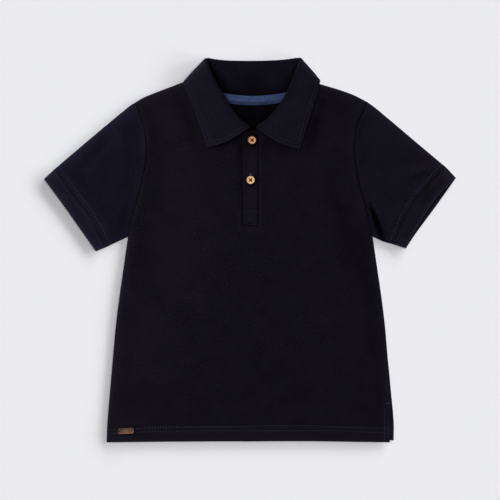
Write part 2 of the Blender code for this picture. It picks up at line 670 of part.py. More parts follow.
def make_plate():
    """The small plate sewn on the front near the hem, tilted as it is sewn."""
    half_long, half_wide = PLATE_SIZE[0] / 2, PLATE_SIZE[1] / 2
    ends = np.array([0.0, 0.3 * PLATE_CORNER, PLATE_CORNER])
    cut = PLATE_CORNER - np.sqrt(PLATE_CORNER ** 2 - (PLATE_CORNER - ends) ** 2)
    x = np.r_[-half_long + ends, 0.0, (half_long - ends)[::-1]]
    half = half_wide - np.r_[cut, 0.0, cut[::-1]]
    y = np.linspace(-1.0, 1.0, 3)[:, None] * half[None]
    grid = np.stack([np.repeat(x[None], 3, axis=0), y], axis=2)
    turn = np.array([[math.cos(PLATE_TILT), math.sin(PLATE_TILT)], [-math.sin(PLATE_TILT), math.cos(PLATE_TILT)]])
    points, faces = joined([grid @ turn + PLATE_CENTRE])
    base = front_middle(points) + CLOTH / 2 + HEM_EXTRA + GAP
    flat_wall("hem_label", points, faces, base, base + PLATE, "plate_brown")


def turned(profile, sides):
    """A closed solid of revolution from rows of radius and height, with flat ends."""
    points, faces = [], []
    for radius, height in profile:
        for i in range(sides):
            angle = 2 * math.pi * i / sides
            points.append((radius * math.cos(angle), radius * math.sin(angle), height))
    for ring in range(len(profile) - 1):
        for i in range(sides):
            a, b = ring * sides + i, ring * sides + (i + 1) % sides
            faces.append((a, b, b + sides, a + sides))
    last = (len(profile) - 1) * sides
    faces.append(tuple(range(sides))[::-1])
    faces.append(tuple(range(last, last + sides)))
    return np.array(points), faces


def make_button(name, place):
    """A turned button with a raised rim and four holes, lying on the placket."""
    place = np.array(place)
    base = float(front_middle(place)) - CLOTH / 2 + PLACKET + GAP
    points, faces = turned(BUTTON_PROFILE, BUTTON_SIDES)
    button = finish(name, points + (*place, base), faces, "button_tan")
    hole, hole_faces = turned(((BUTTON_HOLE_RADIUS, 0.0), (BUTTON_HOLE_RADIUS, HOLE_DEPTH)), HOLE_SIDES)
    for x in (-0.5, 0.5):
        for y in (-0.5, 0.5):
            at = (place[0] + x * BUTTON_HOLE_SPACING, place[1] + y * BUTTON_HOLE_SPACING, base - HOLE_DEPTH / 3)
            cutter = finish(name + "_hole", hole + at, hole_faces, "button_tan")
            cutter.hide_render = True
            cutter.display_type = "WIRE"
            cut = button.modifiers.new("hole", "BOOLEAN")
            cut.operation = "DIFFERENCE"
            cut.object = cutter


def main():
    for old in list(bpy.data.objects):
        bpy.data.objects.remove(old)
    make_back()
    make_front()
    make_sleeves()
    make_collar()
    make_plackets()
    make_tape()
    make_plate()
    for name, place in BUTTON_PLACES.items():
        make_button(name, place)


main()
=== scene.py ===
"""The looks of a child's short-sleeved polo shirt that lies flat on its back: pique, sewing, trims, studio.

X runs from the wearer's right to the wearer's left, Y from the hem to the collar, and Z up from the surface
that the shirt lies on. Tailoring sizes are in millimetres, and a mesh turns them into metres as it is made.
The tables of one half of the shirt give each point's distance out from the centre line and up the shirt.
"""
import json
import math

import bpy
import numpy as np
from bpy.props import FloatProperty, FloatVectorProperty, PointerProperty
from bpy.types import Operator, Panel, PropertyGroup
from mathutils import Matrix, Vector, noise
from mathutils.bvhtree import BVHTree

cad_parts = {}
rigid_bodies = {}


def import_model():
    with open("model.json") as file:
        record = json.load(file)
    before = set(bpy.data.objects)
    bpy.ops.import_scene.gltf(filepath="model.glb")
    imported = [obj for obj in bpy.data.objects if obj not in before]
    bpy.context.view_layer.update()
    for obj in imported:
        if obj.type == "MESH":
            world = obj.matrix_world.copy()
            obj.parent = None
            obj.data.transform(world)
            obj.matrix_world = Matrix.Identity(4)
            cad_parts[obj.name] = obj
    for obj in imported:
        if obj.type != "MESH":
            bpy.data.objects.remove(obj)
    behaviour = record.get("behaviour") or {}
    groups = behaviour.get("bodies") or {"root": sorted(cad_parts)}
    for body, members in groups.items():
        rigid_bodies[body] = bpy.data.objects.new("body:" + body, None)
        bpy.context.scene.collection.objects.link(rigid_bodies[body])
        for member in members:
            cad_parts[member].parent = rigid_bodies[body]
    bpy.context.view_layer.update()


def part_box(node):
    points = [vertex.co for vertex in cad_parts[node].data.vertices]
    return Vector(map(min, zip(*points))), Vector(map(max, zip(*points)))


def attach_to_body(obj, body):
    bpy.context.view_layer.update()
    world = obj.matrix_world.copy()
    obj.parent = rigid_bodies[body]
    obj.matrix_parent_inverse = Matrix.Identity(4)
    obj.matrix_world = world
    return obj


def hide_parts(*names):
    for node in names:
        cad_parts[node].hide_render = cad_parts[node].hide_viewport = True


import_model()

bl_info = {
    "name": "Polo shirt",
    "version": (1, 0, 0),
    "blender": (4, 5, 0),
    "location": "3D View > Sidebar > Polo shirt",
    "description": "Dresses the frame of a child's polo shirt in pique, with its sewing and trims",
    "category": "Object",
}

MM = 0.001

# Cloth and trims
CLOTH = 1.2  # pique of the panels, sleeves and collar
HEM_EXTRA = 0.5  # how much prouder the turned-up hem is
PLACKET = 1.8  # pique folded double
TAPE = 1.0
GAP = 0.3  # between pieces that lie on each other
SEAM_GAP = 0.02  # between pieces that are sewn edge to edge
LAYER_GAP = 0.4  # between the back and the front at the folded edges
CLEARANCE = 0.45  # between pieces that curve differently
NECK_CLEARANCE = 0.65  # between the collar's seam and the neckline
ROUND = 0.9  # radius of the cloth's cut, folded and seamed edges
THINNEST = 0.08  # share of the cloth's thickness at such an edge

# How the front lies on the back
LOFT = 2.6  # how far the front stands off the back, well in from the folded edges
LOFT_REACH = 6.0
HEM_LOFT = 0.45  # share of the loft left at the hem
HEM_REACH = 60.0
SETTLE = 0.3  # how far the layers close up at the folded edges
SETTLE_REACH = 2.0
SEAM_RIDGE = 0.5  # swelling of the cloth on both sides of an armhole seam
SEAM_RIDGE_AT = 4.0
SEAM_RIDGE_WIDTH = 3.0
# Unevenness of the cloth: spacing, height and seed of its noise
UNEVEN_COARSE = (75.0, 0.45, 3.7)
UNEVEN_FINE = (21.0, 0.12, 11.3)

# Heights up the shirt
HEM_LINE = -249.5
HEM_RISE = 1.3
HEM_LIFT = (0.4, 72.0, 48.0)  # height, middle and reach of the place where the hem is drawn up a little
HEM_HALF = 186.0
VENT_TOP = -198.5
PLACKET_FOOT = 32.0
PLACKET_HEAD = 154.6
NECK_FRONT = 155.0

# Placket, across the shirt
PLACKET_EDGE = -10.7
PLACKET_FOLD = 10.0
PLACKET_CORNER = 7.0
PLACKET_FACE = 1.5  # how far in its face is out of the shade at its edge
UNDER_PLACKET = (-15.0, 16.5, 26.0, 153.4)
PLACKET_INSET = 0.35  # how far the placket's free edge is turned under
FACING_RELIEF = 0.22  # how far the band under the front shows through it
FACING_EDGE = 1.6

# The collar's fold
FRONT_ROLL_RADIUS = 1.9
BACK_ROLL_RADIUS = 1.3
ROLL_RISE = 1.8
LEAF_BOW = 0.9
END_DIP = 4.6
END_DIP_ROWS = 3.0
FALL_LIFT = CLOTH + GAP
FALL_LIFT_START = 22.0
FALL_LIFT_RUN = 14.0
FALL_LIFT_OUT = 102.0
LEAF_SEAM = 0.06  # how much thicker each side of the fall is over the turnings inside its edge
LEAF_SEAM_WIDTH = 5.2
LEAF_NEEDLE = 0.28
LEAF_SEAM_EDGE = 1.6
LEAF_NEEDLE_WIDTH = 0.7
LEAF_STITCH_IN = 6.0
LEAF_STITCH_CLEAR = 5.5  # the least distance of one edge's stitches from the other edge
LEAF_UNEVEN = (26.0, 0.22, 41.9)  # spacing, height and seed of the fall's unevenness
LEAF_UNEVEN_IN = (2.0, 10.0)  # from how far in the fall is uneven, and how softly
LEAF_LENGTH = 58.0

# How far from an edge the rows of a cloth grid stand
PLAIN = (0.0,)
NEAR_EDGE = (0.0, 0.12, 0.35, 0.7, 1.2)
EDGE_STEPS = (*NEAR_EDGE, 2.0, 3.2, 5.0, 7.4)
HEM_STEPS = (*NEAR_EDGE, *np.arange(2.2, 26.0, 1.1))
SLOT_STEPS = (*NEAR_EDGE, 1.7, 2.2, 2.8, 3.6, 4.4, 5.2, 6.0, 7.2)
CUFF_END_STEPS = (*NEAR_EDGE, 2.0, 3.0, 4.2, 5.1, 5.6, 6.0, 6.4, 6.9, 7.8, 9.2)
LEAF_STEPS = (0.0, 0.1, 0.3, 0.6, 1.0, 1.7, 2.7, 3.7, 4.6, 5.2, 5.7, 6.1, 6.6, 7.4, 8.8)
BODY_STEP = 3.6
SLEEVE_STEP = 3.0
TRIM_STEP = 2.2
PLACKET_STEP = 1.6
TAPE_STEP = 1.0
MIDDLE_STEP = 2.0  # between both halves of the front
BAND_ENDS = EDGE_STEPS[:7]
TRIM_ENDS = EDGE_STEPS[:6]
COLLAR_END_STEPS = (0.0, 0.012, 0.035, 0.07, 0.12, 0.2, 0.3, 0.4, 0.48, 0.54, 0.6, 0.66, 0.76, 0.88)
COLLAR_STEPS = 6
STAND_STEPS = 9
ROLL_ANGLES = np.radians(np.linspace(90.0, -90.0, 13))

SIDES = {"right": -1.0, "left": 1.0}
UP = np.array([0.0, 0.0, 1.0])

# Each row: out from the centre line, up the shirt.
SIDE_SEAM = {
    "right": ((186.7, HEM_LINE), (185.5, -222.0), (181.6, -176.0), (178.3, -137.0), (174.7, -98.0),
              (169.8, -59.0), (164.2, -20.0), (158.8, 17.8)),
    "left": ((186.3, HEM_LINE), (186.2, -222.0), (182.05, -176.0), (178.3, -137.0), (174.95, -98.0),
             (170.1, -59.0), (164.4, -20.0), (158.8, 17.8)),
}
# The front's own edge on the left side, where the vent lets the back show past it.
VENTED_SIDE = (
    (181.0, HEM_LINE), (181.6, -225.0), (182.3, VENT_TOP), (181.85, -176.0), (178.2, -137.0), (174.85, -98.0),
    (170.0, -59.0), (164.3, -20.0), (158.8, 17.8),
)
ARMHOLE = {
    "right": ((158.8, 17.8), (155.0, 40.0), (147.8, 61.0), (140.8, 89.0), (135.6, 120.0), (135.4, 142.0),
              (139.8, 166.0), (149.5, 191.8)),
    "left": ((158.8, 17.8), (154.2, 36.0), (150.4, 54.0), (141.0, 89.5), (135.6, 122.0), (135.4, 142.0),
             (139.6, 165.0), (152.3, 192.2)),
}
SHOULDER = {
    "right": ((149.5, 191.8), (137.6, 198.6), (116.8, 207.0), (96.0, 214.9), (88.0, 217.7), (68.9, 223.2)),
    "left": ((152.3, 192.3), (132.8, 202.1), (112.0, 209.4), (91.2, 215.4), (71.9, 220.6)),
}
SLEEVE_TOP = {
    "right": ((149.5, 191.8), (158.5, 185.9), (189.9, 160.0), (231.5, 124.8), (254.2, 105.4)),
    "left": ((152.3, 192.2), (164.3, 183.3), (195.5, 157.1), (226.8, 130.6), (253.2, 108.5)),
}
UNDERARM = {
    "right": ((158.8, 17.4), (171.4, 11.5), (187.4, 3.9)),
    "left": ((158.8, 17.8), (171.8, 11.7), (186.2, 7.4)),
}
CUFF_SEAM = {
    "right": ((187.4, 3.9), (209.2, 44.0), (231.5, 73.5), (254.2, 105.4)),
    "left": ((186.2, 7.4), (204.0, 31.0), (228.7, 68.0), (253.2, 108.5)),
}
CUFF_MOUTH = {
    "right": ((200.4, -1.5), (220.8, 27.3), (241.4, 56.4), (267.6, 92.2)),
    "left": ((202.2, 2.5), (216.3, 23.6), (241.9, 58.2), (266.8, 93.4)),
}
# The upper layer of the left cuff is drawn back from the lower one, so that its mouth gapes.
UPPER_CUFF_SEAM = {
    "right": CUFF_SEAM["right"],
    "left": ((186.2, 7.4), (193.2, 26.6), (213.2, 64.5), (253.2, 108.5)),
}
UPPER_CUFF_MOUTH = {
    "right": CUFF_MOUTH["right"],
    "left": ((202.2, 2.5), (210.4, 18.2), (217.3, 30.2), (233.0, 56.3), (247.6, 74.5), (266.8, 93.6)),
}
MOUTH_RISE = {"right": 0.0, "left": 0.2}
UPPER_MOUTH_PAINTED_LIGHT = (2.0, 1.0)  # painted highlight at the mouth: how far in the upper layer is lit, and how much
# Painted light on the lower layer inside the mouth, where the upper layer shades it: how far in, and how much
LOWER_MOUTH_PAINTED_LIGHT = (6.0, 1.0)
MOUTH_LIP = (0.5, 1.6)  # how far the upper layer turns up at the mouth, and from how far in
MOUTH_DROOP = (1.3, 9.0)  # how far the upper layer sinks at the mouth, and from how far in
EDGE_WALL = 1.1 * CLOTH
TUBE_EDGE = (2 * CLOTH + LAYER_GAP - SETTLE) / 2  # radius of a sleeve's folded edges
TUBE_EDGE_DROP = 0.94 * TUBE_EDGE
SLEEVE_GRAIN = math.radians(38.0)  # how far the cloth of a sleeve is turned from that of the body
BACK_NECK = (
    (-68.9, 223.2), (-55.0, 211.2), (-37.0, 204.4), (3.0, 200.3), (43.0, 204.2), (59.0, 210.2), (71.9, 220.6),
)
FRONT_NECK = {
    "right": ((11.0, NECK_FRONT), (25.0, 159.0), (42.0, 169.0), (57.0, 184.5), (66.0, 205.0), (68.9, 223.2)),
    "left": ((10.3, NECK_FRONT), (27.0, 159.0), (45.0, 168.8), (60.0, 184.0), (69.0, 204.5), (71.9, 220.6)),
}

# The collar, from its front end round the side of the neck towards the middle of the back. Each row: how far
# along the neckline its seam is (1 is the side of the neck, 2 the back's middle), the roll where the stand
# folds over and the free edge of the fall (each out and up), and the turn: 1 on the front, 0 on the back.
COLLAR = {
    "right": (
        (0.00, 0.0, 159.4, 56.2, 133.3, 1.0), (0.12, 5.4, 164.5, 59.2, 143.5, 1.0),
        (0.24, 13.9, 171.2, 62.2, 153.0, 1.0), (0.40, 25.0, 186.0, 67.0, 167.0, 1.0),
        (0.54, 34.8, 202.4, 72.6, 181.5, 1.0), (0.68, 44.5, 218.8, 78.2, 195.0, 1.0),
        (0.82, 51.2, 233.0, 83.4, 207.0, 1.0), (0.93, 54.8, 242.3, 85.9, 213.2, 1.0),
        (0.983, 55.7, 245.6, 86.4, 216.3, 1.0), (0.995, 56.2, 247.8, 86.5, 218.2, 0.75),
        (1.00, 56.2, 248.6, 86.1, 219.0, 0.5), (1.006, 55.7, 249.1, 85.3, 218.9, 0.25),
        (1.022, 54.2, 249.6, 84.0, 217.0, 0.0), (1.10, 51.0, 249.0, 79.0, 213.6, 0.0),
        (1.24, 44.0, 247.8, 67.0, 206.5, 0.0), (1.50, 30.0, 246.45, 44.0, 198.8, 0.0),
        (1.76, 15.0, 246.05, 21.0, 194.6, 0.0),
    ),
    "left": (
        (0.00, 6.8, 158.4, 64.6, 130.8, 1.0), (0.12, 10.8, 162.6, 67.8, 141.5, 1.0),
        (0.24, 19.5, 168.5, 71.4, 152.8, 1.0), (0.40, 31.0, 180.2, 75.0, 164.6, 1.0),
        (0.54, 40.8, 194.5, 79.0, 177.0, 1.0), (0.68, 49.2, 209.5, 84.2, 193.5, 1.0),
        (0.82, 57.2, 229.0, 88.4, 207.0, 1.0), (0.93, 61.4, 240.5, 89.2, 213.4, 1.0),
        (0.983, 63.0, 245.8, 90.1, 216.6, 1.0), (0.995, 63.8, 248.4, 90.6, 219.1, 0.75),
        (1.00, 63.9, 249.2, 90.3, 220.1, 0.5), (1.006, 63.5, 249.8, 89.6, 220.0, 0.25),
        (1.022, 61.6, 249.8, 87.0, 216.4, 0.0), (1.10, 58.0, 249.5, 81.5, 212.6, 0.0),
        (1.24, 50.0, 248.3, 69.0, 205.5, 0.0), (1.50, 36.0, 246.95, 47.0, 198.6, 0.0),
        (1.76, 18.0, 246.15, 24.0, 194.4, 0.0),
    ),
}
# The lines along which the fall turns from the front to the back, seen from above.
COLLAR_FOLDS = [
    np.array([(x * row[1], row[2]), (x * row[3], row[4])])
    for side, x in SIDES.items()
    for row in COLLAR[side]
    if row[5] == 0.75
]
COLLAR_BACK_MIDDLE = (2.0, 0.0, 245.9, 1.0, 193.0, 0.0)
COLLAR_FRONT_END = {"right": (0.4, 154.8), "left": (6.6, 154.2)}
NECK_MIDDLE = np.array([0.0, 205.0])

# The folds and creases of the upper layer. Each row: where it starts (x, y) and ends (x, y), how far it bows
# to the left of that line, half of its width, and its height, which is below zero in a trough.
CREASES = (
    (154.8, 61, 171.2, 13.5, 1, 3.4, -2.4), (163, 60, 180, 18, 1, 4.6, 1.6),
    (-190, 143, -225, 91, 0, 8, -1.8), (-161.5, 171, -163, 138, 0, 5, -1.4),
    (-176, 150, -200, 106, 0, 9, 1.2), (-180, 37, -167, 20, 0, 4, -1.6),
    (210, 91, 238, 103, 0, 4, -1.6), (88, 110, 134, 90, 0, 6, -1.1), (100, 84, 130, 58, 0, 8, -0.9),
    (-13, 152, -12.5, 78, 0, 5, -1.1), (-12.5, 78, -12, 30, 0, 3, -0.6),
    (82, 150, 96, 196, 0, 13, -0.8), (-20, -20, -60, -150, 0, 26, 0.7),
    (70, -40, 110, -170, 0, 26, 0.6), (89, 199, 103, 190, 1, 2.6, -0.9),
    (-96, 196, -104, 170, -2, 4.5, 0.4), (92, 96, 126, 80, 3, 3.5, 0.35),
    (104, 122, 131, 110, -2, 4, 0.3), (-131, 84, -118, 44, 4, 6, 0.45),
    (-128, 112, -112, 66, 3, 8, -0.4), (146, 30, 128, -8, 5, 7, -0.45),
    (-150, 12, -138, -38, -6, 9, 0.45), (-60, 110, -88, 40, 6, 12, 0.35),
    (150, -80, 158, -150, 3, 7, 0.3), (-148, -120, -160, -196, -4, 9, -0.35),
    (30, -150, 44, -214, 3, 9, 0.3), (-96, -160, -84, -216, 3, 10, 0.3), (206, 40, 190, 66, 2, 5, 0.4),
    (198, 128, 214, 96, -3, 6, 0.4), (168, 150, 178, 118, -3, 6, -0.4),
    (-208, 60, -196, 92, 3, 5, -0.4), (-230, 116, -222, 98, 1, 4, 0.35),
)
CREASE_PIECES = 6
CREASE_ENDS = 0.35  # share of a crease's height at its ends

# Patches of painted shade and painted light on the upper layer, in place of how light falls across it and
# over its folds.
# Each row: the line that the patch follows, as a crease's, half of its width, and how much lighter it is:
# above zero painted light, below zero painted shade.
PAINTED_SHADE_AND_LIGHT = (
    (154.6, 60.5, 170.8, 13.5, 1, 2.8, -0.8), (157.2, 51, 173.4, 11.5, 1, 4.8, -0.62),
    (168, 20, 173, 10, 0, 4, -0.4), (179, 52, 183, 18, 0, 4, 0.2), (-163, 50, -171, 17, 0, 5, -0.36),
    (-48, 134, -12, 141, 0, 8, -0.28), (12, 143, 60, 128, 0, 9, -0.4), (-7, 147, 11, 145, 0, 12, -0.6),
    (-14, 136, -10, 122, 0, 6, -0.2), (12, 136, 18, 122, 0, 7, -0.22), (71, 132, 88, 180, -1, 8, -0.42),
    (79, 138, 93, 202, -2, 9, -0.2), (88, 197, 98, 191, 0, 5, -0.36),
    (100, 208, 124, 176, 0, 13, -0.18), (-66, 132, -92, 198, 0, 7, -0.28),
    (-104, 209, -92, 203, 0, 6, -0.3), (104, 84, 124, 36, 3, 13, -0.17),
    (122, 40, 147, -50, 3, 15, -0.26), (146, 14, 152, -6, 0, 5, -0.12),
    (148, -40, 168, -62, 0, 6, -0.14), (-155, 176, -157, 104, 0, 8, -0.17),
    (-157, 112, -168, 60, 0, 10, -0.13), (-189, 143, -204, 119, 0, 5, -0.28),
    (-213, 99, -218, 83, 0, 6, -0.25), (-130, 174, -122, 108, 3, 6, -0.18),
    (-112, 93, -143, 46, 0, 9, -0.14), (-143, 24, -148, -40, 0, 6, -0.14),
    (144.5, 174, 136, 140, 2, 4, -0.3), (94, 107, 132, 91, 0, 5, -0.14),
    (212, 92, 236, 102.5, 0, 3.5, -0.26), (160, 112, 176, 104, 0, 9, -0.07),
    (-12.2, 149, -12.2, 56, 0, 4.5, -0.32), (-11.2, 84, -11, 32, 0, 1.4, -0.3),
    (10, -10, 44, -72, 0, 22, -0.07), (-24, -136, 62, -160, 0, 22, -0.07),
    (154, -70, 160, -180, 0, 8, -0.1), (-236, 60, -206, 18, 0, 6, -0.16),
    (234, 82, 222, 64, 0, 6, -0.16), (183, 28, 200, 40, 0, 6, -0.08), (-149, 187, -180, 162, 0, 9, 0.4),
    (-172, 160, -181, 116, 0, 8, 0.24), (-194, 154, -246, 111, 0, 8, 0.42),
    (-251, 106, -199, 42, 0, 5.5, 0.42), (-195, 40, -184, 8, 0, 6, 0.4),
    (-85, 126, -88, 38, 0, 24, 0.21), (-102, 24, -84, -54, 0, 26, 0.23),
    (-48, 60, -60, -10, 0, 16, 0.1), (-130, -58, -146, -172, 0, 24, 0.2),
    (-112, -70, -104, -170, 0, 18, 0.12), (-168, -70, -182, -242, 0, 8, 0.24),
    (-128, -222, -178, -228, 0, 5, 0.2), (-80, -200, -180, -212, 0, 22, 0.06),
    (-118, 190, -95, 138, 0, 14, 0.2), (131, 114, 149.5, 40, -2, 3.6, 0.24),
    (-139, 92, -155.5, 30, 2, 3.6, 0.28), (-145, 186, -138.5, 112, 3, 4, 0.5),
    (132.5, 162, 132, 114, 0, 3.5, 0.2), (159, 2, 167, -46, 0, 3, 0.24),
    (-161, 10, -166, -30, 0, 3, 0.2), (174, -70, 181.5, -215, 0, 5, 0.95),
    (183, -222, 184.5, -251, 0, 5.5, 1.6), (150, -246, 182, -246, 0, 6, 0.22),
    (-146, -245, -185, -244, 0, 5, 0.4), (167, 12, 192, 6, 0, 4, -0.3),
    (-172, 160, -166, 116, 0, 5, 0.22), (-234, 112, -196, 130, 0, 9, 0.14),
    (108, -48, 120, -192, 0, 24, 0.11), (-14, 58, -14, 30, 0, 3, 0.3), (-13, 27, 13, 25, 0, 3, 0.24),
    (14, 28, 15.5, 62, 0, 3, 0.14), (0, 124, 0, 34, 0, 7, 0.2), (60, 102, 74, 30, 0, 20, 0.1),
    (160, 186, 246, 114, 0, 11, 0.2), (190, 64, 200, 38, 0, 13, 0.14), (202, 104, 250, 110, 0, 6, 0.42),
    (252, 106, 258, 88, 0, 6, 0.45), (212, 72, 224, 88, 0, 6, 0.26), (200, 46, 210, 66, 0, 4, 0.24),
    (-258, 100, -263, 91, 0, 5, 0.34), (-228, 72, -190, 16, 0, 5, 0.12),
)
PAINTED_LIGHT_SHARE = 0.6  # share of the lighter colour in a patch of painted light whose tone is 1
MOST_PAINTED_LIGHT = 1.6
# Painted light: patches inside the back, below the tape, where light reaches and the painted shade is lifted.
INSIDE_LIT = (
    (9, 179, 14, 173, 0, 5, 0.13), (-16, 180, -11, 174, 0, 4, 0.07), (26, 188, 32, 184, 0, 4, 0.1),
)

# Painted shade inside the back, where the neck opening shows it, how dark it is: all over, how much more
# below a height and how softly, and the lowest height that is shaded and how softly. Then the spacing, share
# and seed of its unevenness.
BACK_SHADE = (0.79, 0.21, 180.0, 14.0)
BACK_SHADE_FOOT = (110.0, 30.0)
BACK_SHADE_UNEVEN = (16.0, 0.10, 5.9)

# Painted shade inside the stand, how dark it is: all over, at its seam (share, reach), in the middle of the
# back (share, x, y, both reaches), and beside the roll on each side (share, reach, how much further it
# reaches low down).
STAND_SHADE = 0.27
STAND_SEAM_SHADE = (0.42, 11.0)
STAND_MIDDLE_SHADE = (0.36, -2.0, 220.0, 24.0, 16.0)
STAND_ROLL_SHADE = ((0.93, 4.5, 8.0), (0.75, 3.5, 5.0))
STAND_ROLL_BACK = 40  # how many sections on each side of the back middle the shade beside the roll leaves out
STAND_LOW = (242.0, -36.0)
STAND_HIGH = (247.0, -16.0, 0.6)  # where the shade beside the roll is weaker, how softly, and its share there
STAND_UNEVEN = (22.0, 0.09, 8.3)
STAND_SHADE_END = (STAND_STEPS + 3.0, -5.0)
FALL_SHADE_START = (STAND_STEPS + 6.0, 5.0)
FALL_ROLL_SHADE = (0.30, 4.0, 243.0, -10.0)  # share, reach, and the height that it ends at and how softly
FALL_FRONT_SHADE = (0.42, 10.0, (3.5, 158.0))  # share, reach and place
# How far in the collar is rubbed and lit with painted sheen, and how much, at its free edge, at its ends and
# along its folds, where the painted light is a highlight on the roll
COLLAR_WEAR_AND_LIGHT = ((1.0, 0.25), (1.6, 0.5), (3.0, 0.9))
RIGHT_FALL_PAINTED_LIGHT = (0.06, -40.0, -10.0)  # painted light: how much lighter the right fall is, from where and how softly

# Lines of sewing on the upper layer. Each row: x, y.
HEM_UPPER_NEEDLE = (
    (-184.6, -233.3), (-152.0, -232.3), (-139.0, -230.5), (-113.0, -229.2), (-35.0, -229.0), (16.0, -227.8),
    (81.0, -227.7), (107.0, -228.9), (133.0, -229.5), (159.0, -230.5), (180.4, -231.1),
)
HEM_LOWER_NEEDLE = (
    (-184.9, -238.3), (-165.0, -237.0), (-139.0, -235.7), (-100.0, -235.1), (-61.0, -234.4), (81.0, -234.0),
    (107.0, -234.3), (133.0, -235.4), (159.0, -236.5), (180.4, -237.1),
)
BACK_SHOWN = (177.0, 185.6)  # where the back's hem shows past the front's, across the shirt
BACK_CORNER_UP = 2.4  # how much higher the back's hem ends there
BACK_CORNER_RUN = (-8.0, 14.0)  # from where, past its shown part, the hem rises, and over how far
BACK_SIDE_RUN = 60.0  # how far up the side seam that is evened out
BACK_VENT_SEWING = ((183.6, -226.0), (184.2, -245.5))
# The middle and length of each bar of close stitches, and the length of its threads
BARS = {"vent_bartack": ((179.0, -198.7), 5.6, 0.85), "buttonhole_end": ((0.1, 98.6), 3.2, 2.6)}
BAR_THREAD = 0.5
BAR_PITCH = 0.45
VENT_SEWING = ((174.1, -204.5), (174.1, -247.0))
PLACKET_SIDE_SEWING = ((12.3, 147.0), (12.5, 96.0), (12.1, 50.1))
FACING_SEWING = ((-12.2, 79.0), (-12.0, 50.6))
PLACKET_BOX = (-9.2, 12.3, 33.3, 50.1)  # lowest and highest x, lowest and highest y
SLEEVE_STITCH_IN = {"right": 7.2, "left": 5.7}
PLACKET_NEEDLE_DEPTH = 0.096  # how deep the stitches draw the thick placket in
THREAD_FLAT = 0.75  # height of the thread as a share of its width
THREAD_LOWEST = 0.02
THREAD_PROUD = (0.6, 1.2)  # how proud the stitches stand, as the least and the greatest share
CAST_FROM = 0.1  # how far above or below the shirt a place on its cloth is looked for from, in metres
STITCH_AHEAD = 0.3  # how far before and behind a stitch its line's direction is read
NEEDLE_DEPTH = 0.3
NEEDLE_WIDTH = 0.8
TURNING_EDGE = 1.5  # how far a turning's edge takes to show through
VENT_TOP_EDGE = 2.0
PUCKER = (6.5, 0.14, 23.1)  # spacing, height and seed of the small waves along the hem
PUCKER_REACH = 9.0

SEAM_SHADE = 0.62  # how dark the cloth is in an armhole's seam
CUFF_SEAM_SHADE = 0.34
SEAM_SHADE_REACH = 0.85
DOUBLED_WEAR = 0.15  # how much lighter the cloth is where it is doubled at the hem and vent
CUFF_LENGTH = 17.5
BUTTON_SHADE = {"button_upper": 0.8, "button_lower": 0.32}  # painted shadow: how dark the placket is close round each button
BUTTON_SHADE_REACH = (10.5, -4.0)  # how far from the button's middle it ends, and how softly
BUTTON_FACE = {"upper": 4.6, "lower": 4.95}  # radius of the face inside the dark rim of painted shadow
BUTTON_EDGE = 0.12  # rounding of the button's edges
SOFTEN_ABOVE = 50.0  # the angle, in degrees, from which an edge is rounded off
BUTTON_SMOOTH = 32.0  # the angle, in degrees, up to which the button is shaded smooth
PLATE_SMOOTH = 30.0
BUTTON_THREAD_WIDTH = 1.0
BUTTON_THREAD_APART = 0.3
BUTTON_THREAD_DEEP = 0.35
BUTTON_THREAD_REACH = 1.12  # from hole to hole, as a share of the distance across

# Each row: radius as a share of the button's, height as a share of the button's.
BUTTON_PROFILE = (
    (0.86, 0.0), (0.95, 0.07), (1.0, 0.27), (1.0, 0.66), (0.975, 0.84), (0.92, 0.96), (0.85, 1.0),
    (0.79, 0.965), (0.73, 0.86), (0.66, 0.79), (0.5, 0.77),
)
BUTTON_SIDES = 64
BUTTON_FACE_EDGE = 0.5
BUTTON_DISH = (0.6, 2.4, -1.2)  # painted shade: how dark the dish is between the holes, its radius, and how softly it ends
BUTTON_HOLE_RADIUS = 0.85
BUTTON_HOLE_SPACING = 3.1
HOLE_SIDES = 20
PLATE_CORNER = 2.1
PLATE_TILT = math.radians(2.5)
PLATE_SIZE = (19.6, 6.2, 1.0)
PLATE_UP = 1.1  # how far its middle stands above the middle of its place
PLATE_INSET = (0.55, 0.12, 0.08)  # width of its flat rim, and width and depth of the step inside it
PLATE_EDGE = 0.18
PLATE_GAP = 0.05
PLATE_RIM = (1.12, -0.7)  # how far in its paler rim, worn and painted as a highlight, ends, and how softly
PLATE_STITCH_IN = 2.0
PLATE_STITCH = (2.2, 1.3)  # length and width of its thread
TAPE_ENDS = (-60.0, 63.0)
TAPE_WIDTH = 12.3
TAPE_INSET = 0.2
TAPE_STITCH_UP = 4.4
TAPE_SHADE_EDGE = 1.2  # how softly the shade below its stitches ends
TWILL_RIB = 0.0011  # from one rib of the tape to the next, in metres
TAPE_END_SHADE = 0.5  # how dark the tape is at its ends, under the collar
TAPE_END_RUN = (3.0, 14.0, 26.0)  # its middle, from how far out its ends are shaded, and how softly

CAMERA_PLACE = (-0.46, 0.2)
CAMERA_VIEW = 650.0  # how much of the floor the camera sees across
CAMERA_LENS = 110.0
CAMERA_SENSOR = 36.0
FLOOR_SIDE = 5.0
FLOOR_DROP = 0.2
KEY_PLACE = (-1.55, 1.0, 1.7)
# Azimuth from the right towards the collar, elevation and apparent size of each light, in degrees
HIGH_LIGHT = (38.0, 80.0, 30.0)
DOME_LIGHT = (20.0, 80.0, 150.0)
LOW_LIGHT = (12.5, 13.0)
LOW_LIGHTS = ((-18.0, 0.18), (10.0, 0.27), (36.0, 0.30), (64.0, 0.25))  # azimuth and share of each low light


# ---------------------------------------------------------------- what a user would change

def colour_of(name, *value):
    """The colour of something that a user may change."""
    return FloatVectorProperty(
        name=name, description="Colour of the " + name.lower(), subtype="COLOR", size=3, min=0.0, max=1.0,
        default=value)


def length_of(name, description, default, low, high):
    """A length in metres that a user may change."""
    return FloatProperty(
        name=name, description=description, subtype="DISTANCE", unit="LENGTH",
        default=default, min=low, max=high)


def level_of(name, description, default, high, **kind):
    """A strength, a power or a share that a user may change."""
    return FloatProperty(name=name, description=description, default=default, min=0.0, max=high, **kind)


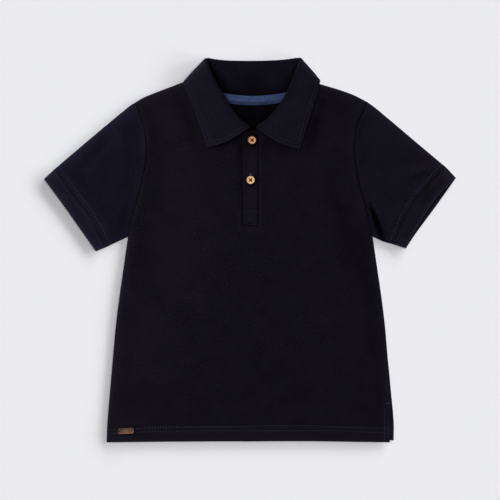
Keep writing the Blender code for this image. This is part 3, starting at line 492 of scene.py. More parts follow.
class ShirtCloth(PropertyGroup):
    body: colour_of("Front, back and plackets", 0.0082, 0.0067, 0.0117)
    # The right sleeve and cuff lie on the side the key light comes from: their colours are set bluer, and the
    # right cuff lighter, than the left ones, as painted light
    sleeve_right: colour_of("Right sleeve", 0.0087, 0.0075, 0.0152)
    sleeve_left: colour_of("Left sleeve", 0.0090, 0.0075, 0.0140)
    cuff_right: colour_of("Right cuff", 0.0124, 0.0113, 0.0218)
    cuff_left: colour_of("Left cuff", 0.0106, 0.0089, 0.0152)
    collar: colour_of("Collar", 0.0094, 0.0081, 0.0146)
    cell: length_of("Knit cell", "Width of two neighbouring cells of the pique", 0.0019, 0.0005, 0.005)
    knit_depth: length_of("Knit depth", "Depth of the cells of the pique", 0.00022, 0.0, 0.001)
    sheen: level_of("Sheen", "Share of light caught by the cloth's nap", 0.012, 1.0, subtype="FACTOR")


class ShirtSewing(PropertyGroup):
    thread: colour_of("Sewing thread", 0.061, 0.061, 0.128)
    placket: colour_of("Placket thread", 0.018, 0.017, 0.037)
    collar: colour_of("Collar thread", 0.032, 0.031, 0.062)
    bars: colour_of("Bartack and buttonhole thread", 0.060, 0.060, 0.100)
    button_thread: colour_of("Button and plate thread", 0.008, 0.009, 0.016)
    pitch: length_of("Pitch", "Distance from one stitch to the next", 0.0035, 0.001, 0.01)
    cuff_pitch: length_of("Cuff pitch", "Distance between stitches at the cuffs", 0.0036, 0.001, 0.01)
    stitch_length: length_of("Stitch length", "Length of thread that one stitch shows", 0.00105, 0.0005, 0.01)
    stitch_width: length_of("Thread width", "Width of the thread as it lies", 0.0009, 0.0002, 0.002)


class ShirtTrims(PropertyGroup):
    tape: colour_of("Neck tape", 0.047, 0.073, 0.172)
    upper_button: colour_of("Upper button", 0.76, 0.385, 0.18)
    lower_button: colour_of("Lower button", 1.0, 0.60, 0.28)
    plate: colour_of("Hem plate", 0.150, 0.090, 0.064)


class ShirtStudio(PropertyGroup):
    floor: colour_of("Floor", 0.80, 0.80, 0.839)
    key_power: level_of(
        "Key", "Power of the soft box at the upper left that lights the shirt", 53.0, 1000.0, subtype="POWER")
    key_side: length_of("Key side", "Length of each side of the soft box", 2.0, 0.1, 10.0)
    dome: level_of("Dome", "Strength on the shirt of the wide soft light above it", 0.25, 5.0)
    low_light: level_of("Low light", "Strength on the floor of the low, shadowing lights", 0.50, 5.0)
    high_light: level_of("High light", "Strength on the floor of the light straight above it", 0.44, 5.0)
    fill: level_of("Fill", "Strength of the light from all round", 0.10, 10.0)


# ---------------------------------------------------------------- lines

def runs(line):
    """How far along a line of straight pieces each of its points is."""
    return np.r_[0.0, np.cumsum(np.linalg.norm(np.diff(line, axis=0), axis=1))]


def run_shares(line):
    """How far along a line each of its points is, as a share of its length."""
    run = runs(line)
    return run / run[-1]


def line_length(line):
    return float(runs(np.asarray(line))[-1])


def read_line(line, places, at):
    """Points at some places along a line of straight pieces, whose own points are at the places in at."""
    return np.column_stack([np.interp(places, at, line[:, axis]) for axis in range(line.shape[1])])


def smooth_line(rows, shares, fine=24):
    """Points at the given shares of the length of a smooth curve through the rows."""
    knots = np.array(rows, float)
    ends = np.vstack([2 * knots[0] - knots[1], knots, 2 * knots[-1] - knots[-2]])
    line = [knots[0]]
    for before, start, stop, after in zip(ends, ends[1:], ends[2:], ends[3:]):
        for t in np.arange(1, fine + 1) / fine:
            line.append(0.5 * (2 * start + (stop - before) * t
                               + (2 * before - 5 * start + 4 * stop - after) * t ** 2
                               + (3 * start - before - 3 * stop + after) * t ** 3))
    line = np.array(line)
    return read_line(line, shares, run_shares(line))


def placed(rows, side):
    """Rows of one half, turned from out and up into x and y."""
    return np.array(rows, float) * (SIDES[side], 1.0)


def curve(table, side, shares):
    """Points at the given shares of the smooth curve through one side's rows of a table."""
    return smooth_line(placed(table[side], side), shares)


def graded(length, step, first=EDGE_STEPS, last=EDGE_STEPS):
    """Shares of a line of some length: close together near its ends, and about a step apart in between."""
    start, stop = first[-1], length - last[-1]
    count = max(2, round((stop - start) / step))
    between = np.linspace(start, stop, count + 1)
    return np.r_[first[:-1], between, length - np.array(last[:-1])[::-1]] / length


def unit(vectors):
    """The vectors, each brought to a length of 1."""
    return vectors / np.linalg.norm(vectors, axis=-1)[..., None]


def square_to(directions, aim):
    """Flat directions square to others, on the side that an aim points to."""
    across = unit(directions)[:, ::-1] * (-1.0, 1.0)
    return across * np.where(np.sum(across * aim, axis=1) < 0, -1.0, 1.0)[:, None]


def nearest_on_line(points, line):
    """The distance from each point to a line of straight pieces, and the share of the line at that place."""
    nearest = np.full(points.shape[:-1], np.inf)
    at = np.zeros(points.shape[:-1])
    shares = run_shares(line)
    for number, (start, stop) in enumerate(zip(line, line[1:])):
        along = stop - start
        share = np.clip(((points - start) @ along) / (along @ along), 0.0, 1.0)
        distance = np.linalg.norm(points - start - share[..., None] * along, axis=-1)
        closer = distance < nearest
        nearest = np.where(closer, distance, nearest)
        at = np.where(closer, shares[number] + share * (shares[number + 1] - shares[number]), at)
    return nearest, at


def distance_to(points, *lines):
    """The distance from each point to the nearest of some lines."""
    return np.min([nearest_on_line(points, np.asarray(line))[0] for line in lines], axis=0)


def bell(value, reach):
    """1 where a value is 0, falling softly to almost 0 at twice its reach."""
    return np.exp(-(value / reach) ** 2)


def smooth_step(value):
    """A value from 0 to 1 with a soft start and a soft end."""
    value = np.clip(value, 0.0, 1.0)
    return value * value * (3.0 - 2.0 * value)


def ramp(value, start, run):
    """0 up to a start and 1 from one run further on; a run below zero turns it round."""
    return smooth_step((value - start) / run)


def blend(share, first, second):
    """From the first to the second as a share goes from 0 to 1."""
    return (1 - share) * first + share * second


def uneven(points, spacing, height, seed):
    """Soft noise over flat points, as high as stated."""
    return height * wander(points, spacing, seed)


def wander(points, spacing, seed):
    """Even, soft noise between about -1 and 1 over flat points, with hollows about one spacing apart."""
    flat = np.asarray(points, float).reshape(-1, 2) / spacing
    values = [noise.noise((x, y, seed)) for x, y in flat]
    return np.array(values).reshape(points.shape[:-1])


def crease_line(x0, y0, x1, y1, bow):
    """The line that a crease follows, bowed to the left of the straight line between its ends."""
    share = np.linspace(0.0, 1.0, CREASE_PIECES + 1)[:, None]
    start, across = np.array([x0, y0]), np.array([x1 - x0, y1 - y0])
    along = across / np.linalg.norm(across)
    return start + share * across + 4.0 * bow * share * (1.0 - share) * (-along[1], along[0])


FINE_SHARES = np.linspace(0.0, 1.0, 25)
NECK_SHARES = np.linspace(0.0, 1.0, 61)
BACK_NECK_SHARES = np.linspace(0.0, 1.0, 45)
TAPE_NECK_SHARES = np.linspace(0.0, 1.0, 97)
FOLDED_EDGES = [
    curve(table, side, FINE_SHARES) for side in SIDES for table in (SHOULDER, SLEEVE_TOP, UNDERARM, SIDE_SEAM)
]
ARMHOLES = [curve(ARMHOLE, side, FINE_SHARES) for side in SIDES]


def sleeve_sewing(side, seam, mouth):
    """The line of stitches on a sleeve, a little in from its cuff seam."""
    first, last = curve(seam, side, FINE_SHARES), curve(mouth, side, FINE_SHARES)
    return first + square_to(np.gradient(first, axis=0), first - last) * SLEEVE_STITCH_IN[side]


TOP_SEWING = [
    HEM_UPPER_NEEDLE, HEM_LOWER_NEEDLE, VENT_SEWING, PLACKET_SIDE_SEWING,
    *(sleeve_sewing(side, UPPER_CUFF_SEAM, UPPER_CUFF_MOUTH) for side in SIDES),
]


# ---------------------------------------------------------------- heights of the layers

def fall_lift(points):
    """How far the back is raised where the collar's fall lies under it."""
    outs, ups = [], []
    for side in SIDES:
        rows = [row for row in COLLAR[side] if row[5] < 0.5]
        outs += [SIDES[side] * row[3] for row in rows]
        ups += [row[4] for row in rows]
    order = np.argsort(outs)
    edge = np.interp(points[..., 0], np.array(outs)[order], np.array(ups)[order])
    up = ramp(points[..., 1] - edge, -FALL_LIFT_START, FALL_LIFT_RUN)
    return FALL_LIFT * up * ramp(np.abs(points[..., 0]), FALL_LIFT_OUT, -FALL_LIFT_RUN)


def beside(points, row):
    """How near each point is to the line of a crease: 1 on it, less towards its ends, 0 away from it."""
    distance, share = nearest_on_line(points, crease_line(*row[:5]))
    fade = blend(smooth_step(4.0 * np.minimum(share, 1.0 - share)), CREASE_ENDS, 1.0)
    return fade * bell(distance, row[5])


def patches(points, rows):
    """The sum of the rows' patches, each soft and fading at both ends."""
    return np.sum([row[-1] * beside(points, row) for row in rows], axis=0)


def painted_shade_and_light(points):
    """How much painted shade and how much painted light the cloth carries in its patches."""
    tone = patches(points, PAINTED_SHADE_AND_LIGHT)
    return np.clip(-tone, 0.0, 1.0), PAINTED_LIGHT_SHARE * np.clip(tone, 0.0, MOST_PAINTED_LIGHT)


def back_height(points):
    """Height of the middle of the back's wall."""
    return CLOTH / 2 + fall_lift(points)


def upper_height(points):
    """Height of the middle of the upper layer's wall, over the front, both sleeves and both cuffs."""
    edge = distance_to(points, *FOLDED_EDGES)
    hem = blend(ramp(points[..., 1], HEM_LINE, HEM_REACH), HEM_LOFT, 1.0)
    loft = 1.0 - np.exp(-edge / LOFT_REACH)
    ridge = SEAM_RIDGE * bell(distance_to(points, *ARMHOLES) - SEAM_RIDGE_AT, SEAM_RIDGE_WIDTH)
    waves = uneven(points, *UNEVEN_COARSE) + uneven(points, *UNEVEN_FINE)
    rise = loft * (LOFT * hem + ridge + patches(points, CREASES) + waves)
    settled = SETTLE * np.exp(-edge / SETTLE_REACH)
    return back_height(points) + CLOTH + LAYER_GAP + np.maximum(rise, 0.0) - settled


def turned_up(points):
    """1 where the cloth is turned up at the hem, and 0 above it."""
    x, y = np.array(HEM_UPPER_NEEDLE).T
    return smooth_step((np.interp(points[..., 0], x, y) - points[..., 1]) / TURNING_EDGE + 0.5)


def sunk(distance):
    """How deep a line of stitches draws the cloth in, at some distance from it."""
    return NEEDLE_DEPTH * bell(distance, NEEDLE_WIDTH)


def upper_relief(points):
    """What stands on the upper layer: the doubled hem, the sunk lines of sewing and the facing's print."""
    x, y = points[..., 0], points[..., 1]
    hem = distance_to(points, HEM_UPPER_NEEDLE, HEM_LOWER_NEEDLE)
    pucker = uneven(points, *PUCKER) * np.exp(-hem / PUCKER_REACH)
    x0, x1, y0, _ = UNDER_PLACKET
    inside = np.min([x - x0, x1 - x, y - y0], axis=0)
    facing = FACING_RELIEF * smooth_step(inside / FACING_EDGE + 0.5)
    return HEM_EXTRA * turned_up(points) - sunk(distance_to(points, *TOP_SEWING)) + pucker + facing


def seam_shade(distance, share=SEAM_SHADE):
    """How dark the cloth is at some distance from a seam that is sewn edge to edge."""
    return share * bell(distance, SEAM_SHADE_REACH)


def doubled(points):
    """1 where the cloth is turned up at the hem and turned in at the vent, and 0 elsewhere."""
    vent = smooth_step((points[..., 0] - VENT_SEWING[0][0]) / TURNING_EDGE + 0.5)
    vent *= smooth_step((VENT_TOP - points[..., 1]) / VENT_TOP_EDGE + 0.5)
    return np.maximum(turned_up(points), vent)


def rounding(distance, radius=ROUND):
    """The share of a wall's thickness left at some distance from its edge, where it is rounded off."""
    inward = 1.0 - np.clip(distance / radius, 0.0, 1.0)
    return np.maximum(np.sqrt(1.0 - inward * inward), THINNEST)


def edge_wear_and_light(distance, reach=3.6, most=0.72):
    """How much an edge is rubbed and lit with painted sheen and light, from the most, on the edge, down to 0.
    """
    return most * np.exp(-distance / reach)


# ---------------------------------------------------------------- grids and meshes

def patch(low, high, first, last):
    """A grid of points spread between four lines: low and high rows, first and last columns."""
    r, c = run_shares(first)[:, None, None], run_shares(low)[None, :, None]
    ruled = blend(c, first[:, None], last[:, None]) + blend(r, low[None], high[None])
    return ruled - blend(r, blend(c, low[0], low[-1]), blend(c, high[0], high[-1]))


def mirrored(grid):
    """Whether the faces of a flat grid would face down."""
    return np.cross(grid[0, 1] - grid[0, 0], grid[1, 0] - grid[0, 0]) < 0


def faces_between(start, stop, step, flip):
    """Faces from each start to its stop, and from there to the next row, whose numbers are a step higher."""
    faces = np.stack([start, stop, stop + step, start + step], axis=-1).reshape(-1, 4)
    return [tuple(face) for face in (faces[:, ::-1] if flip else faces).tolist()]


def grid_faces(rows, columns, flip=False):
    """Faces of a grid, numbered row by row, which face up when columns run along X and rows along Y."""
    start = np.arange((rows - 1) * columns).reshape(-1, columns)[:, :-1]
    return faces_between(start, start + 1, columns, flip)


def joined(grids):
    """One surface from several grids whose shared edges hold the same points."""
    numbers, points, faces = {}, [], []
    for grid in grids:
        rows, columns = grid.shape[:2]
        index = []
        for point in grid.reshape(-1, 2):
            key = tuple(np.round(point, 4))
            if key not in numbers:
                numbers[key] = len(points)
                points.append(point)
            index.append(numbers[key])
        faces += [tuple(index[i] for i in face) for face in grid_faces(rows, columns, mirrored(grid))]
    return np.array(points), faces


def flat_piece(grid):
    """A flat grid's points and faces, and the distance from each point to the nearest of its four sides."""
    points, faces = joined([grid])
    sides = np.vstack([grid[0], grid[:, -1], grid[-1][::-1], grid[:, 0][::-1]])
    return points, faces, distance_to(points, sides)


def new_piece(name, points, faces, material):
    """A smooth mesh in metres from points in millimetres, linked to the scene."""
    mesh = bpy.data.meshes.new(name)
    mesh.from_pydata((np.asarray(points) * MM).tolist(), [], faces)
    mesh.shade_smooth()
    mesh.materials.append(material)
    piece = bpy.data.objects.new(name, mesh)
    bpy.context.scene.collection.objects.link(piece)
    return piece


def keep_values(piece, name, values):
    """Keeps a value for each point of a piece, for its material to read."""
    values = np.asarray(values, float)
    piece.data.attributes.new(name, "FLOAT", "POINT").data.foreach_set("value", values)


def wall(name, faces, low, high, laid, wear_and_painted_light, material, painted_shade=None):
    """A closed wall of cloth between two copies of a surface, whose faces face from low to high. laid is
    where its points lie along the grain; the next argument is how rubbed they are and how lit with painted
    sheen and light, and the last how much painted shade the high ones carry."""
    count = len(low)
    edges = {(face[i - 1], face[i]) for face in faces for i in range(len(face))}
    rim = [(a, b) for a, b in edges if (b, a) not in edges]
    sides = [(b, a, a + count, b + count) for a, b in sorted(rim)]
    under = [tuple(i + count for i in face[::-1]) for face in faces]
    piece = new_piece(name, np.vstack([high, low]), list(faces) + under + sides, material)
    corners = np.zeros(len(piece.data.loops), int)
    piece.data.loops.foreach_get("vertex_index", corners)
    grain = np.vstack([laid, laid])[corners] * MM
    piece.data.uv_layers.new(name="cloth").data.foreach_set("uv", grain.ravel())
    keep_values(piece, "wear_and_painted_light", np.r_[wear_and_painted_light, wear_and_painted_light])
    keep_values(piece, "painted_shade", np.r_[np.zeros(count) if painted_shade is None else painted_shade, np.zeros(count)])
    return piece


def flat_wall(name, points, faces, low, high, wear_and_painted_light, material, laid=None, painted_shade=None):
    """A closed wall whose two sides are the given heights over the same points."""
    return wall(name, faces, np.column_stack([points, low]), np.column_stack([points, high]),
                points if laid is None else laid, wear_and_painted_light, material, painted_shade)


def attach(piece, nodes):
    """Ties a finished piece to the frame."""
    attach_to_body(piece, "root")
    if nodes:
        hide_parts(*nodes)


def cut_cloth(piece, node):
    """Ties a piece of cloth to the frame and hides the frame's part that it was cut for."""
    attach(piece, [node])


# ---------------------------------------------------------------- finishes

def add_node(tree, kind, inputs=None, **settings):
    """A node with its settings made and its inputs set or linked."""
    made = tree.nodes.new(kind)
    for key, value in settings.items():
        setattr(made, key, value)
    for key, value in (inputs or {}).items():
        if isinstance(value, bpy.types.NodeSocket):
            tree.links.new(value, made.inputs[key])
        else:
            made.inputs[key].default_value = value
    return made


def new_finish(name, roughness, specular, **constants):
    """A material with its shader's constants set, its node tree and that shader."""
    material = bpy.data.materials.new(name)
    material.use_nodes = True
    shader = material.node_tree.nodes["Principled BSDF"]
    shader.inputs["Roughness"].default_value = roughness
    shader.inputs["Specular IOR Level"].default_value = specular
    for key, value in constants.items():
        shader.inputs[key.replace("_", " ")].default_value = value
    return material, material.node_tree, shader


def calculated(tree, operation, first, second=0.0):
    """What a math node makes of two values."""
    return add_node(tree, "ShaderNodeMath", {0: first, 1: second}, operation=operation).outputs[0]


def plus(tree, first, second, share):
    """A value and a share of another one."""
    return calculated(tree, "ADD", first, calculated(tree, "MULTIPLY", second, share))


def noise_over(tree, place, scale, detail, **more):
    """The value of a soft noise over a place."""
    inputs = {"Vector": place, "Scale": scale, "Detail": detail, **more}
    return add_node(tree, "ShaderNodeTexNoise", inputs).outputs["Fac"]


def ranged(tree, value, low, high, to_low=0.0, to_high=1.0):
    """A value brought from one range to another."""
    inputs = {"Value": value, "From Min": low, "From Max": high, "To Min": to_low, "To Max": to_high}
    return add_node(tree, "ShaderNodeMapRange", inputs).outputs[0]


def kept_values(tree, name):
    """The values that keep_values kept on a piece."""
    return add_node(tree, "ShaderNodeAttribute", attribute_name=name).outputs["Fac"]


def own_place(tree):
    """The place of each point in the piece's own frame."""
    return add_node(tree, "ShaderNodeTexCoord").outputs["Object"]


def along_grain(tree):
    """The place of each point on the flat cloth."""
    return add_node(tree, "ShaderNodeUVMap", uv_map="cloth").outputs["UV"]


def raised(tree, shader, height, strength, distance):
    """Raises and sinks a surface by a height from a socket."""
    bump = add_node(tree, "ShaderNodeBump", {"Strength": strength, "Distance": distance, "Height": height})
    tree.links.new(bump.outputs[0], shader.inputs["Normal"])


def mixed(tree, share, first, second):
    """A colour between two, each from a socket or plain, by a share from a socket."""
    mix = add_node(tree, "ShaderNodeMix", data_type="RGBA")
    for key, value in (("A", first), ("B", second), ("Factor", share)):
        if isinstance(value, bpy.types.NodeSocket):
            tree.links.new(value, mix.inputs[key])
        else:
            mix.inputs[key].default_value = (*value, 1.0)
    return mix.outputs["Result"]


def shown_as(tree, shader, colour, roughness=None):
    """Links a colour and a roughness to a shader."""
    tree.links.new(colour, shader.inputs["Base Color"])
    if roughness:
        tree.links.new(roughness, shader.inputs["Roughness"])


def pique_finish(name, colour, settings):
    """Pique: small raised cells set on the diagonal, a fine fuzz of fibre and slightly uneven dye, mixed
    towards a lighter colour for wear and painted light, and towards near-black for painted shade.
    """
    material, tree, shader = new_finish(name, 0.9, 0.02, Sheen_Weight=settings.sheen, Sheen_Roughness=0.45,
                                        Sheen_Tint=(0.80, 0.82, 1.0, 1.0))
    grain = along_grain(tree)
    turns = 2.0 * math.pi / settings.cell
    laid = add_node(tree, "ShaderNodeMapping", {"Vector": grain, "Scale": (turns, 1.22 * turns, turns)})
    drift = add_node(tree, "ShaderNodeTexNoise", {"Vector": grain, "Scale": 420.0, "Detail": 1.0})
    drift = drift.outputs["Color"]
    loose = add_node(tree, "ShaderNodeVectorMath", {0: drift, "Scale": 1.6}, operation="SCALE").outputs[0]
    place = add_node(tree, "ShaderNodeVectorMath", {0: laid.outputs[0], 1: loose}, operation="ADD").outputs[0]
    split = add_node(tree, "ShaderNodeSeparateXYZ", {0: place})
    cells = calculated(tree, "MULTIPLY", *(calculated(tree, "SINE", split.outputs[axis]) for axis in (0, 1)))
    fibre = noise_over(tree, grain, 2600.0, 3.0)
    slub = noise_over(tree, grain, 560.0, 2.0)
    dye = noise_over(tree, grain, 40.0, 2.0)
    raised(tree, shader, plus(tree, plus(tree, cells, fibre, 1.3), slub, 1.5), 1.0, settings.knit_depth)
    base = np.array(colour)
    shade = ranged(tree, plus(tree, plus(tree, slub, dye, 0.25), cells, 0.1), 0.37, 0.88)
    cloth = mixed(tree, shade, base * 0.38, base * 1.62)
    # The lighter colour: for rubbed edges, and for painted sheen and painted light
    rubbed_and_lit = mixed(tree, fibre, base * 2.0, base * 3.0)
    # The near-black colour of painted shade
    inside = mixed(tree, fibre, base * (0.01, 0.0, 0.015), base * (0.09, 0.015, 0.11))
    face = mixed(tree, kept_values(tree, "wear_and_painted_light"), cloth, rubbed_and_lit)
    shown_as(tree, shader, mixed(tree, kept_values(tree, "painted_shade"), face, inside),
             ranged(tree, fibre, 0.0, 1.0, 0.82, 1.0))
    return material


def twill_finish(name, colour):
    """Twill tape: slanting ribs over a plain ground, with a darker copy of its colour for painted shade."""
    material, tree, shader = new_finish(name, 0.85, 0.05, Sheen_Weight=0.02, Sheen_Roughness=0.5)
    grain = along_grain(tree)
    rib = 2.0 * math.pi / TWILL_RIB
    laid = add_node(tree, "ShaderNodeMapping", {
        "Vector": grain, "Rotation": (0.0, 0.0, math.radians(35.0)), "Scale": (rib, rib, rib)})
    ribs = calculated(tree, "SINE", add_node(tree, "ShaderNodeSeparateXYZ", {0: laid.outputs[0]}).outputs[0])
    raised(tree, shader, plus(tree, ribs, noise_over(tree, grain, 1500.0, 3.0), 1.2), 1.0, 0.0001)
    base = np.array(colour)
    shade = plus(tree, noise_over(tree, grain, 240.0, 2.0), ribs, 0.2)
    # A lit copy of the tape's colour and a darker copy for painted shade
    upper = mixed(tree, shade, base * 0.5, base * 1.5)
    lower = mixed(tree, shade, base * 0.16, base * 0.84)
    shown_as(tree, shader, mixed(tree, kept_values(tree, "painted_shade"), upper, lower))
    return material


def thread_finish(name, colour):
    """Twisted sewing thread."""
    material, tree, shader = new_finish(name, 0.7, 0.1, Sheen_Weight=0.05, Sheen_Roughness=0.4)
    place = own_place(tree)
    fibre, patchy = noise_over(tree, place, 2400.0, 2.0), noise_over(tree, place, 160.0, 2.0)
    raised(tree, shader, fibre, 0.6, 0.00008)
    base = np.array(colour)
    shade = ranged(tree, calculated(tree, "ADD", fibre, patchy), 0.65, 1.35)
    shown_as(tree, shader, mixed(tree, shade, base * 0.45, base * 1.6))
    return material


def wood_finish(name, colour):
    """Pale turned wood with a slight grain, sanded smooth, with painted shadow darkening its rim and painted
    shade in its dish.
    """
    material, tree, shader = new_finish(name, 0.5, 0.25)
    place = own_place(tree)
    laid = add_node(tree, "ShaderNodeMapping", {
        "Vector": place, "Rotation": (0.0, 0.0, math.radians(28.0)), "Scale": (260.0, 1300.0, 700.0)})
    grain = noise_over(tree, laid.outputs[0], 1.0, 4.0, Distortion=0.6)
    fleck = noise_over(tree, place, 900.0, 2.0)
    base = np.array(colour)
    shade = ranged(tree, grain, 0.3, 0.7)
    face = mixed(tree, shade, base * (0.80, 0.72, 0.66), base * (1.06, 1.10, 1.12))
    # The near-black colour of the painted shadow at the rim and the painted shade in the dish
    edge = mixed(tree, fleck, base * (0.015, 0.012, 0.015), base * (0.05, 0.04, 0.035))
    raised(tree, shader, grain, 0.35, 0.00006)
    shown_as(tree, shader, mixed(tree, kept_values(tree, "rim"), face, edge),
             ranged(tree, fleck, 0.0, 1.0, 0.34, 0.55))
    return material


def plate_finish(name, colour):
    """Brown leather board with a fine pebbled face and a paler rim, partly worn and partly a painted
    highlight.
    """
    material, tree, shader = new_finish(name, 0.6, 0.25)
    place = own_place(tree)
    pebble = add_node(tree, "ShaderNodeTexVoronoi", {"Vector": place, "Scale": 1500.0}).outputs["Distance"]
    raised(tree, shader, pebble, 0.5, 0.00012)
    base = np.array(colour)
    shade = ranged(tree, noise_over(tree, place, 260.0, 3.0), 0.3, 0.7)
    mottled = mixed(tree, shade, base * 0.6, base * 1.5)
    # The paler rim: wear and a painted highlight
    edge = mixed(tree, shade, base * (1.6, 1.45, 1.25), base * (2.3, 2.0, 1.7))
    shown_as(tree, shader, mixed(tree, kept_values(tree, "rim"), mottled, edge),
             ranged(tree, pebble, 0.0, 1.0, 0.5, 0.75))
    return material


def finish_for(name, make, *settings):
    """A material made once and shared by the pieces that name it."""
    return bpy.data.materials.get(name) or make(name, *settings)


def pique_for(part):
    cloth = bpy.context.scene.shirt_cloth
    return finish_for(part + "_knit", pique_finish, getattr(cloth, part), cloth)


def thread_for(use):
    return finish_for("sewing_" + use, thread_finish, getattr(bpy.context.scene.shirt_sewing, use))


# ---------------------------------------------------------------- front and back

def side_line(side_seam, side, first, body_last=PLAIN):
    """The line from the hem up one side and its armhole to the shoulder, and the shares along both."""
    seam_rows, armhole_rows = placed(side_seam, side), placed(ARMHOLE[side], side)
    body = graded(line_length(seam_rows), BODY_STEP, first, body_last)
    arm = graded(line_length(armhole_rows), BODY_STEP, PLAIN, EDGE_STEPS)
    return np.vstack([smooth_line(seam_rows, body), smooth_line(armhole_rows, arm)[1:]]), body, arm


def hem_line(start, stop, shares):
    """The hem from one x to another, a little higher at the centre."""
    x = start + np.array(shares) * (stop - start)
    lift = HEM_LIFT[0] * bell(x - HEM_LIFT[1], HEM_LIFT[2])
    return np.column_stack([x, HEM_LINE + HEM_RISE * (1.0 - (x / HEM_HALF) ** 2) + lift])


def slot_and_neck(side, shares):
    """The front's inner edge above the foot of the placket, row by row, with a row at the neck's corner."""
    neck = curve(FRONT_NECK, side, NECK_SHARES)
    edge = np.vstack([(neck[0, 0], PLACKET_FOOT - GAP), neck])
    at = run_shares(edge)
    shares = np.array(shares)
    shares[np.searchsorted(shares, at[1])] = at[1]
    return read_line(edge, shares, at)


def front_half(side):
    """Grid of one half of the front, from its side to the placket slot, and the row at the slot's foot."""
    seam = VENTED_SIDE if side == "left" else SIDE_SEAM[side]
    outer, body, arm = side_line(seam, side, HEM_STEPS, EDGE_STEPS)
    columns = graded(HEM_HALF - PLACKET_FOLD, BODY_STEP, EDGE_STEPS, SLOT_STEPS)
    upper = slot_and_neck(side, arm)
    low = hem_line(outer[0, 0], upper[0, 0], columns)
    lower = low[-1] + body[:, None] * (upper[0] - low[-1])
    outer[0] = low[0]
    return patch(low, curve(SHOULDER, side, columns), outer, np.vstack([lower, upper[1:]])), len(body)


def front_grid():
    """The front's flat points and faces, its folded edges, and its edges that are sewn to other pieces."""
    right, foot = front_half("right")
    left, _ = front_half("left")
    between = graded(PLACKET_FOLD - PLACKET_EDGE, MIDDLE_STEP, PLAIN, PLAIN)[None, :, None]
    middle = blend(between, right[:foot, -1][:, None], left[:foot, -1][:, None])
    halves = (right, left)
    folded = [edge for half in halves for edge in (half[:foot, 0], half[0], half[-1])]
    cut = [half[foot - 1:, column] for half in halves for column in (0, -1)] + [middle[-1]]
    return *joined([right, middle, left]), folded, cut


class SHIRT_OT_front(Operator):
    """Makes the front, slit for the placket, with a vent and a double-needle hem."""
    bl_idname = "shirt.front"
    bl_label = "Front"

    def execute(self, context):
        points, faces, folded, cut = front_grid()
        outside = distance_to(points, *folded)
        share = rounding(np.minimum(outside, distance_to(points, *cut)))
        half, middle = CLOTH / 2 * share, upper_height(points)
        relief = upper_relief(points) * share
        # Painted shade and painted light from the patches, and the darker line of the armhole seams
        darker, lighter = painted_shade_and_light(points)
        darker = np.maximum(darker, seam_shade(distance_to(points, *ARMHOLES)))
        wear_and_painted_light = np.maximum(edge_wear_and_light(outside), DOUBLED_WEAR * doubled(points) + lighter)
        piece = flat_wall("front_cloth", points, faces, middle - half, middle + half + relief, wear_and_painted_light,
                          pique_for("body"), painted_shade=darker)
        cut_cloth(piece, "front_panel")
        return {"FINISHED"}


class SHIRT_OT_back(Operator):
    """Makes the back, flat on the surface and raised only over the collar's fall."""
    bl_idname = "shirt.back"
    bl_label = "Back"

    def execute(self, context):
        first, last = (side_line(SIDE_SEAM[side], side, HEM_STEPS)[0] for side in SIDES)
        rows = min(len(first), len(last))
        first = read_line(first, np.linspace(0, 1, rows), run_shares(first)) if len(first) != rows else first
        last = read_line(last, run_shares(first), run_shares(last)) if len(last) != rows else last
        shares = graded(line_length(SHOULDER["right"]), 2 * BODY_STEP, EDGE_STEPS, PLAIN)
        right, left = (curve(SHOULDER, side, shares) for side in SIDES)
        neck = smooth_line(BACK_NECK, BACK_NECK_SHARES)
        high = np.vstack([right, neck[1:-1], left[::-1]])
        low = hem_line(first[0, 0], last[0, 0], run_shares(high))
        start, run = BACK_CORNER_RUN
        lifted = BACK_CORNER_UP * ramp(low[:, 0], BACK_SHOWN[0] + start, run)
        low[:, 1] += lifted
        last[:, 1] += lifted[-1] * np.clip(1.0 - (last[:, 1] - HEM_LINE) / BACK_SIDE_RUN, 0.0, 1.0)
        first[0], last[0] = low[0], low[-1]
        points, faces, rim = flat_piece(patch(low, high, first, last))
        half, middle = CLOTH / 2 * rounding(rim), back_height(points)
        pulled = sunk(distance_to(points, HEM_UPPER_NEEDLE, HEM_LOWER_NEEDLE))
        # Painted shade inside the back, less in the patches of painted light
        shade, more, start, run = BACK_SHADE
        painted_shade = shade + more * ramp(points[:, 1], start, -run) + uneven(points, *BACK_SHADE_UNEVEN)
        painted_shade = np.clip(painted_shade - patches(points, INSIDE_LIT), 0.0, 1.0) * ramp(points[:, 1], *BACK_SHADE_FOOT)
        # Wear and painted sheen at the rim, and painted light from the patches
        wear_and_painted_light = np.clip(edge_wear_and_light(rim) + painted_shade_and_light(points)[1], 0.0, 1.0)
        piece = flat_wall("back_cloth", points, faces, middle - half + pulled, middle + half, wear_and_painted_light,
                          pique_for("body"), painted_shade=painted_shade)
        cut_cloth(piece, "back_panel")
        return {"FINISHED"}


# ---------------------------------------------------------------- sleeves and cuffs

def closed_loops(upper, top, lower, bottom):
    """The rings of a flattened tube, each along its upper layer and back along its lower one."""
    return np.hstack([np.dstack([upper, top]), np.dstack([lower, bottom])[:, ::-1]]).reshape(-1, 3)


def running(grid, axis):
    """How far along each line of a grid its points are."""
    steps = np.linalg.norm(np.diff(grid, axis=axis), axis=-1)
    start = np.zeros_like(np.take(steps, [0], axis=axis))
    return np.cumsum(np.concatenate([start, steps], axis=axis), axis=axis)


def from_ends(run, axis):
    """The distance to the nearer end of each line."""
    last = np.take(run, [-1], axis=axis)
    return np.minimum(run, last - run)


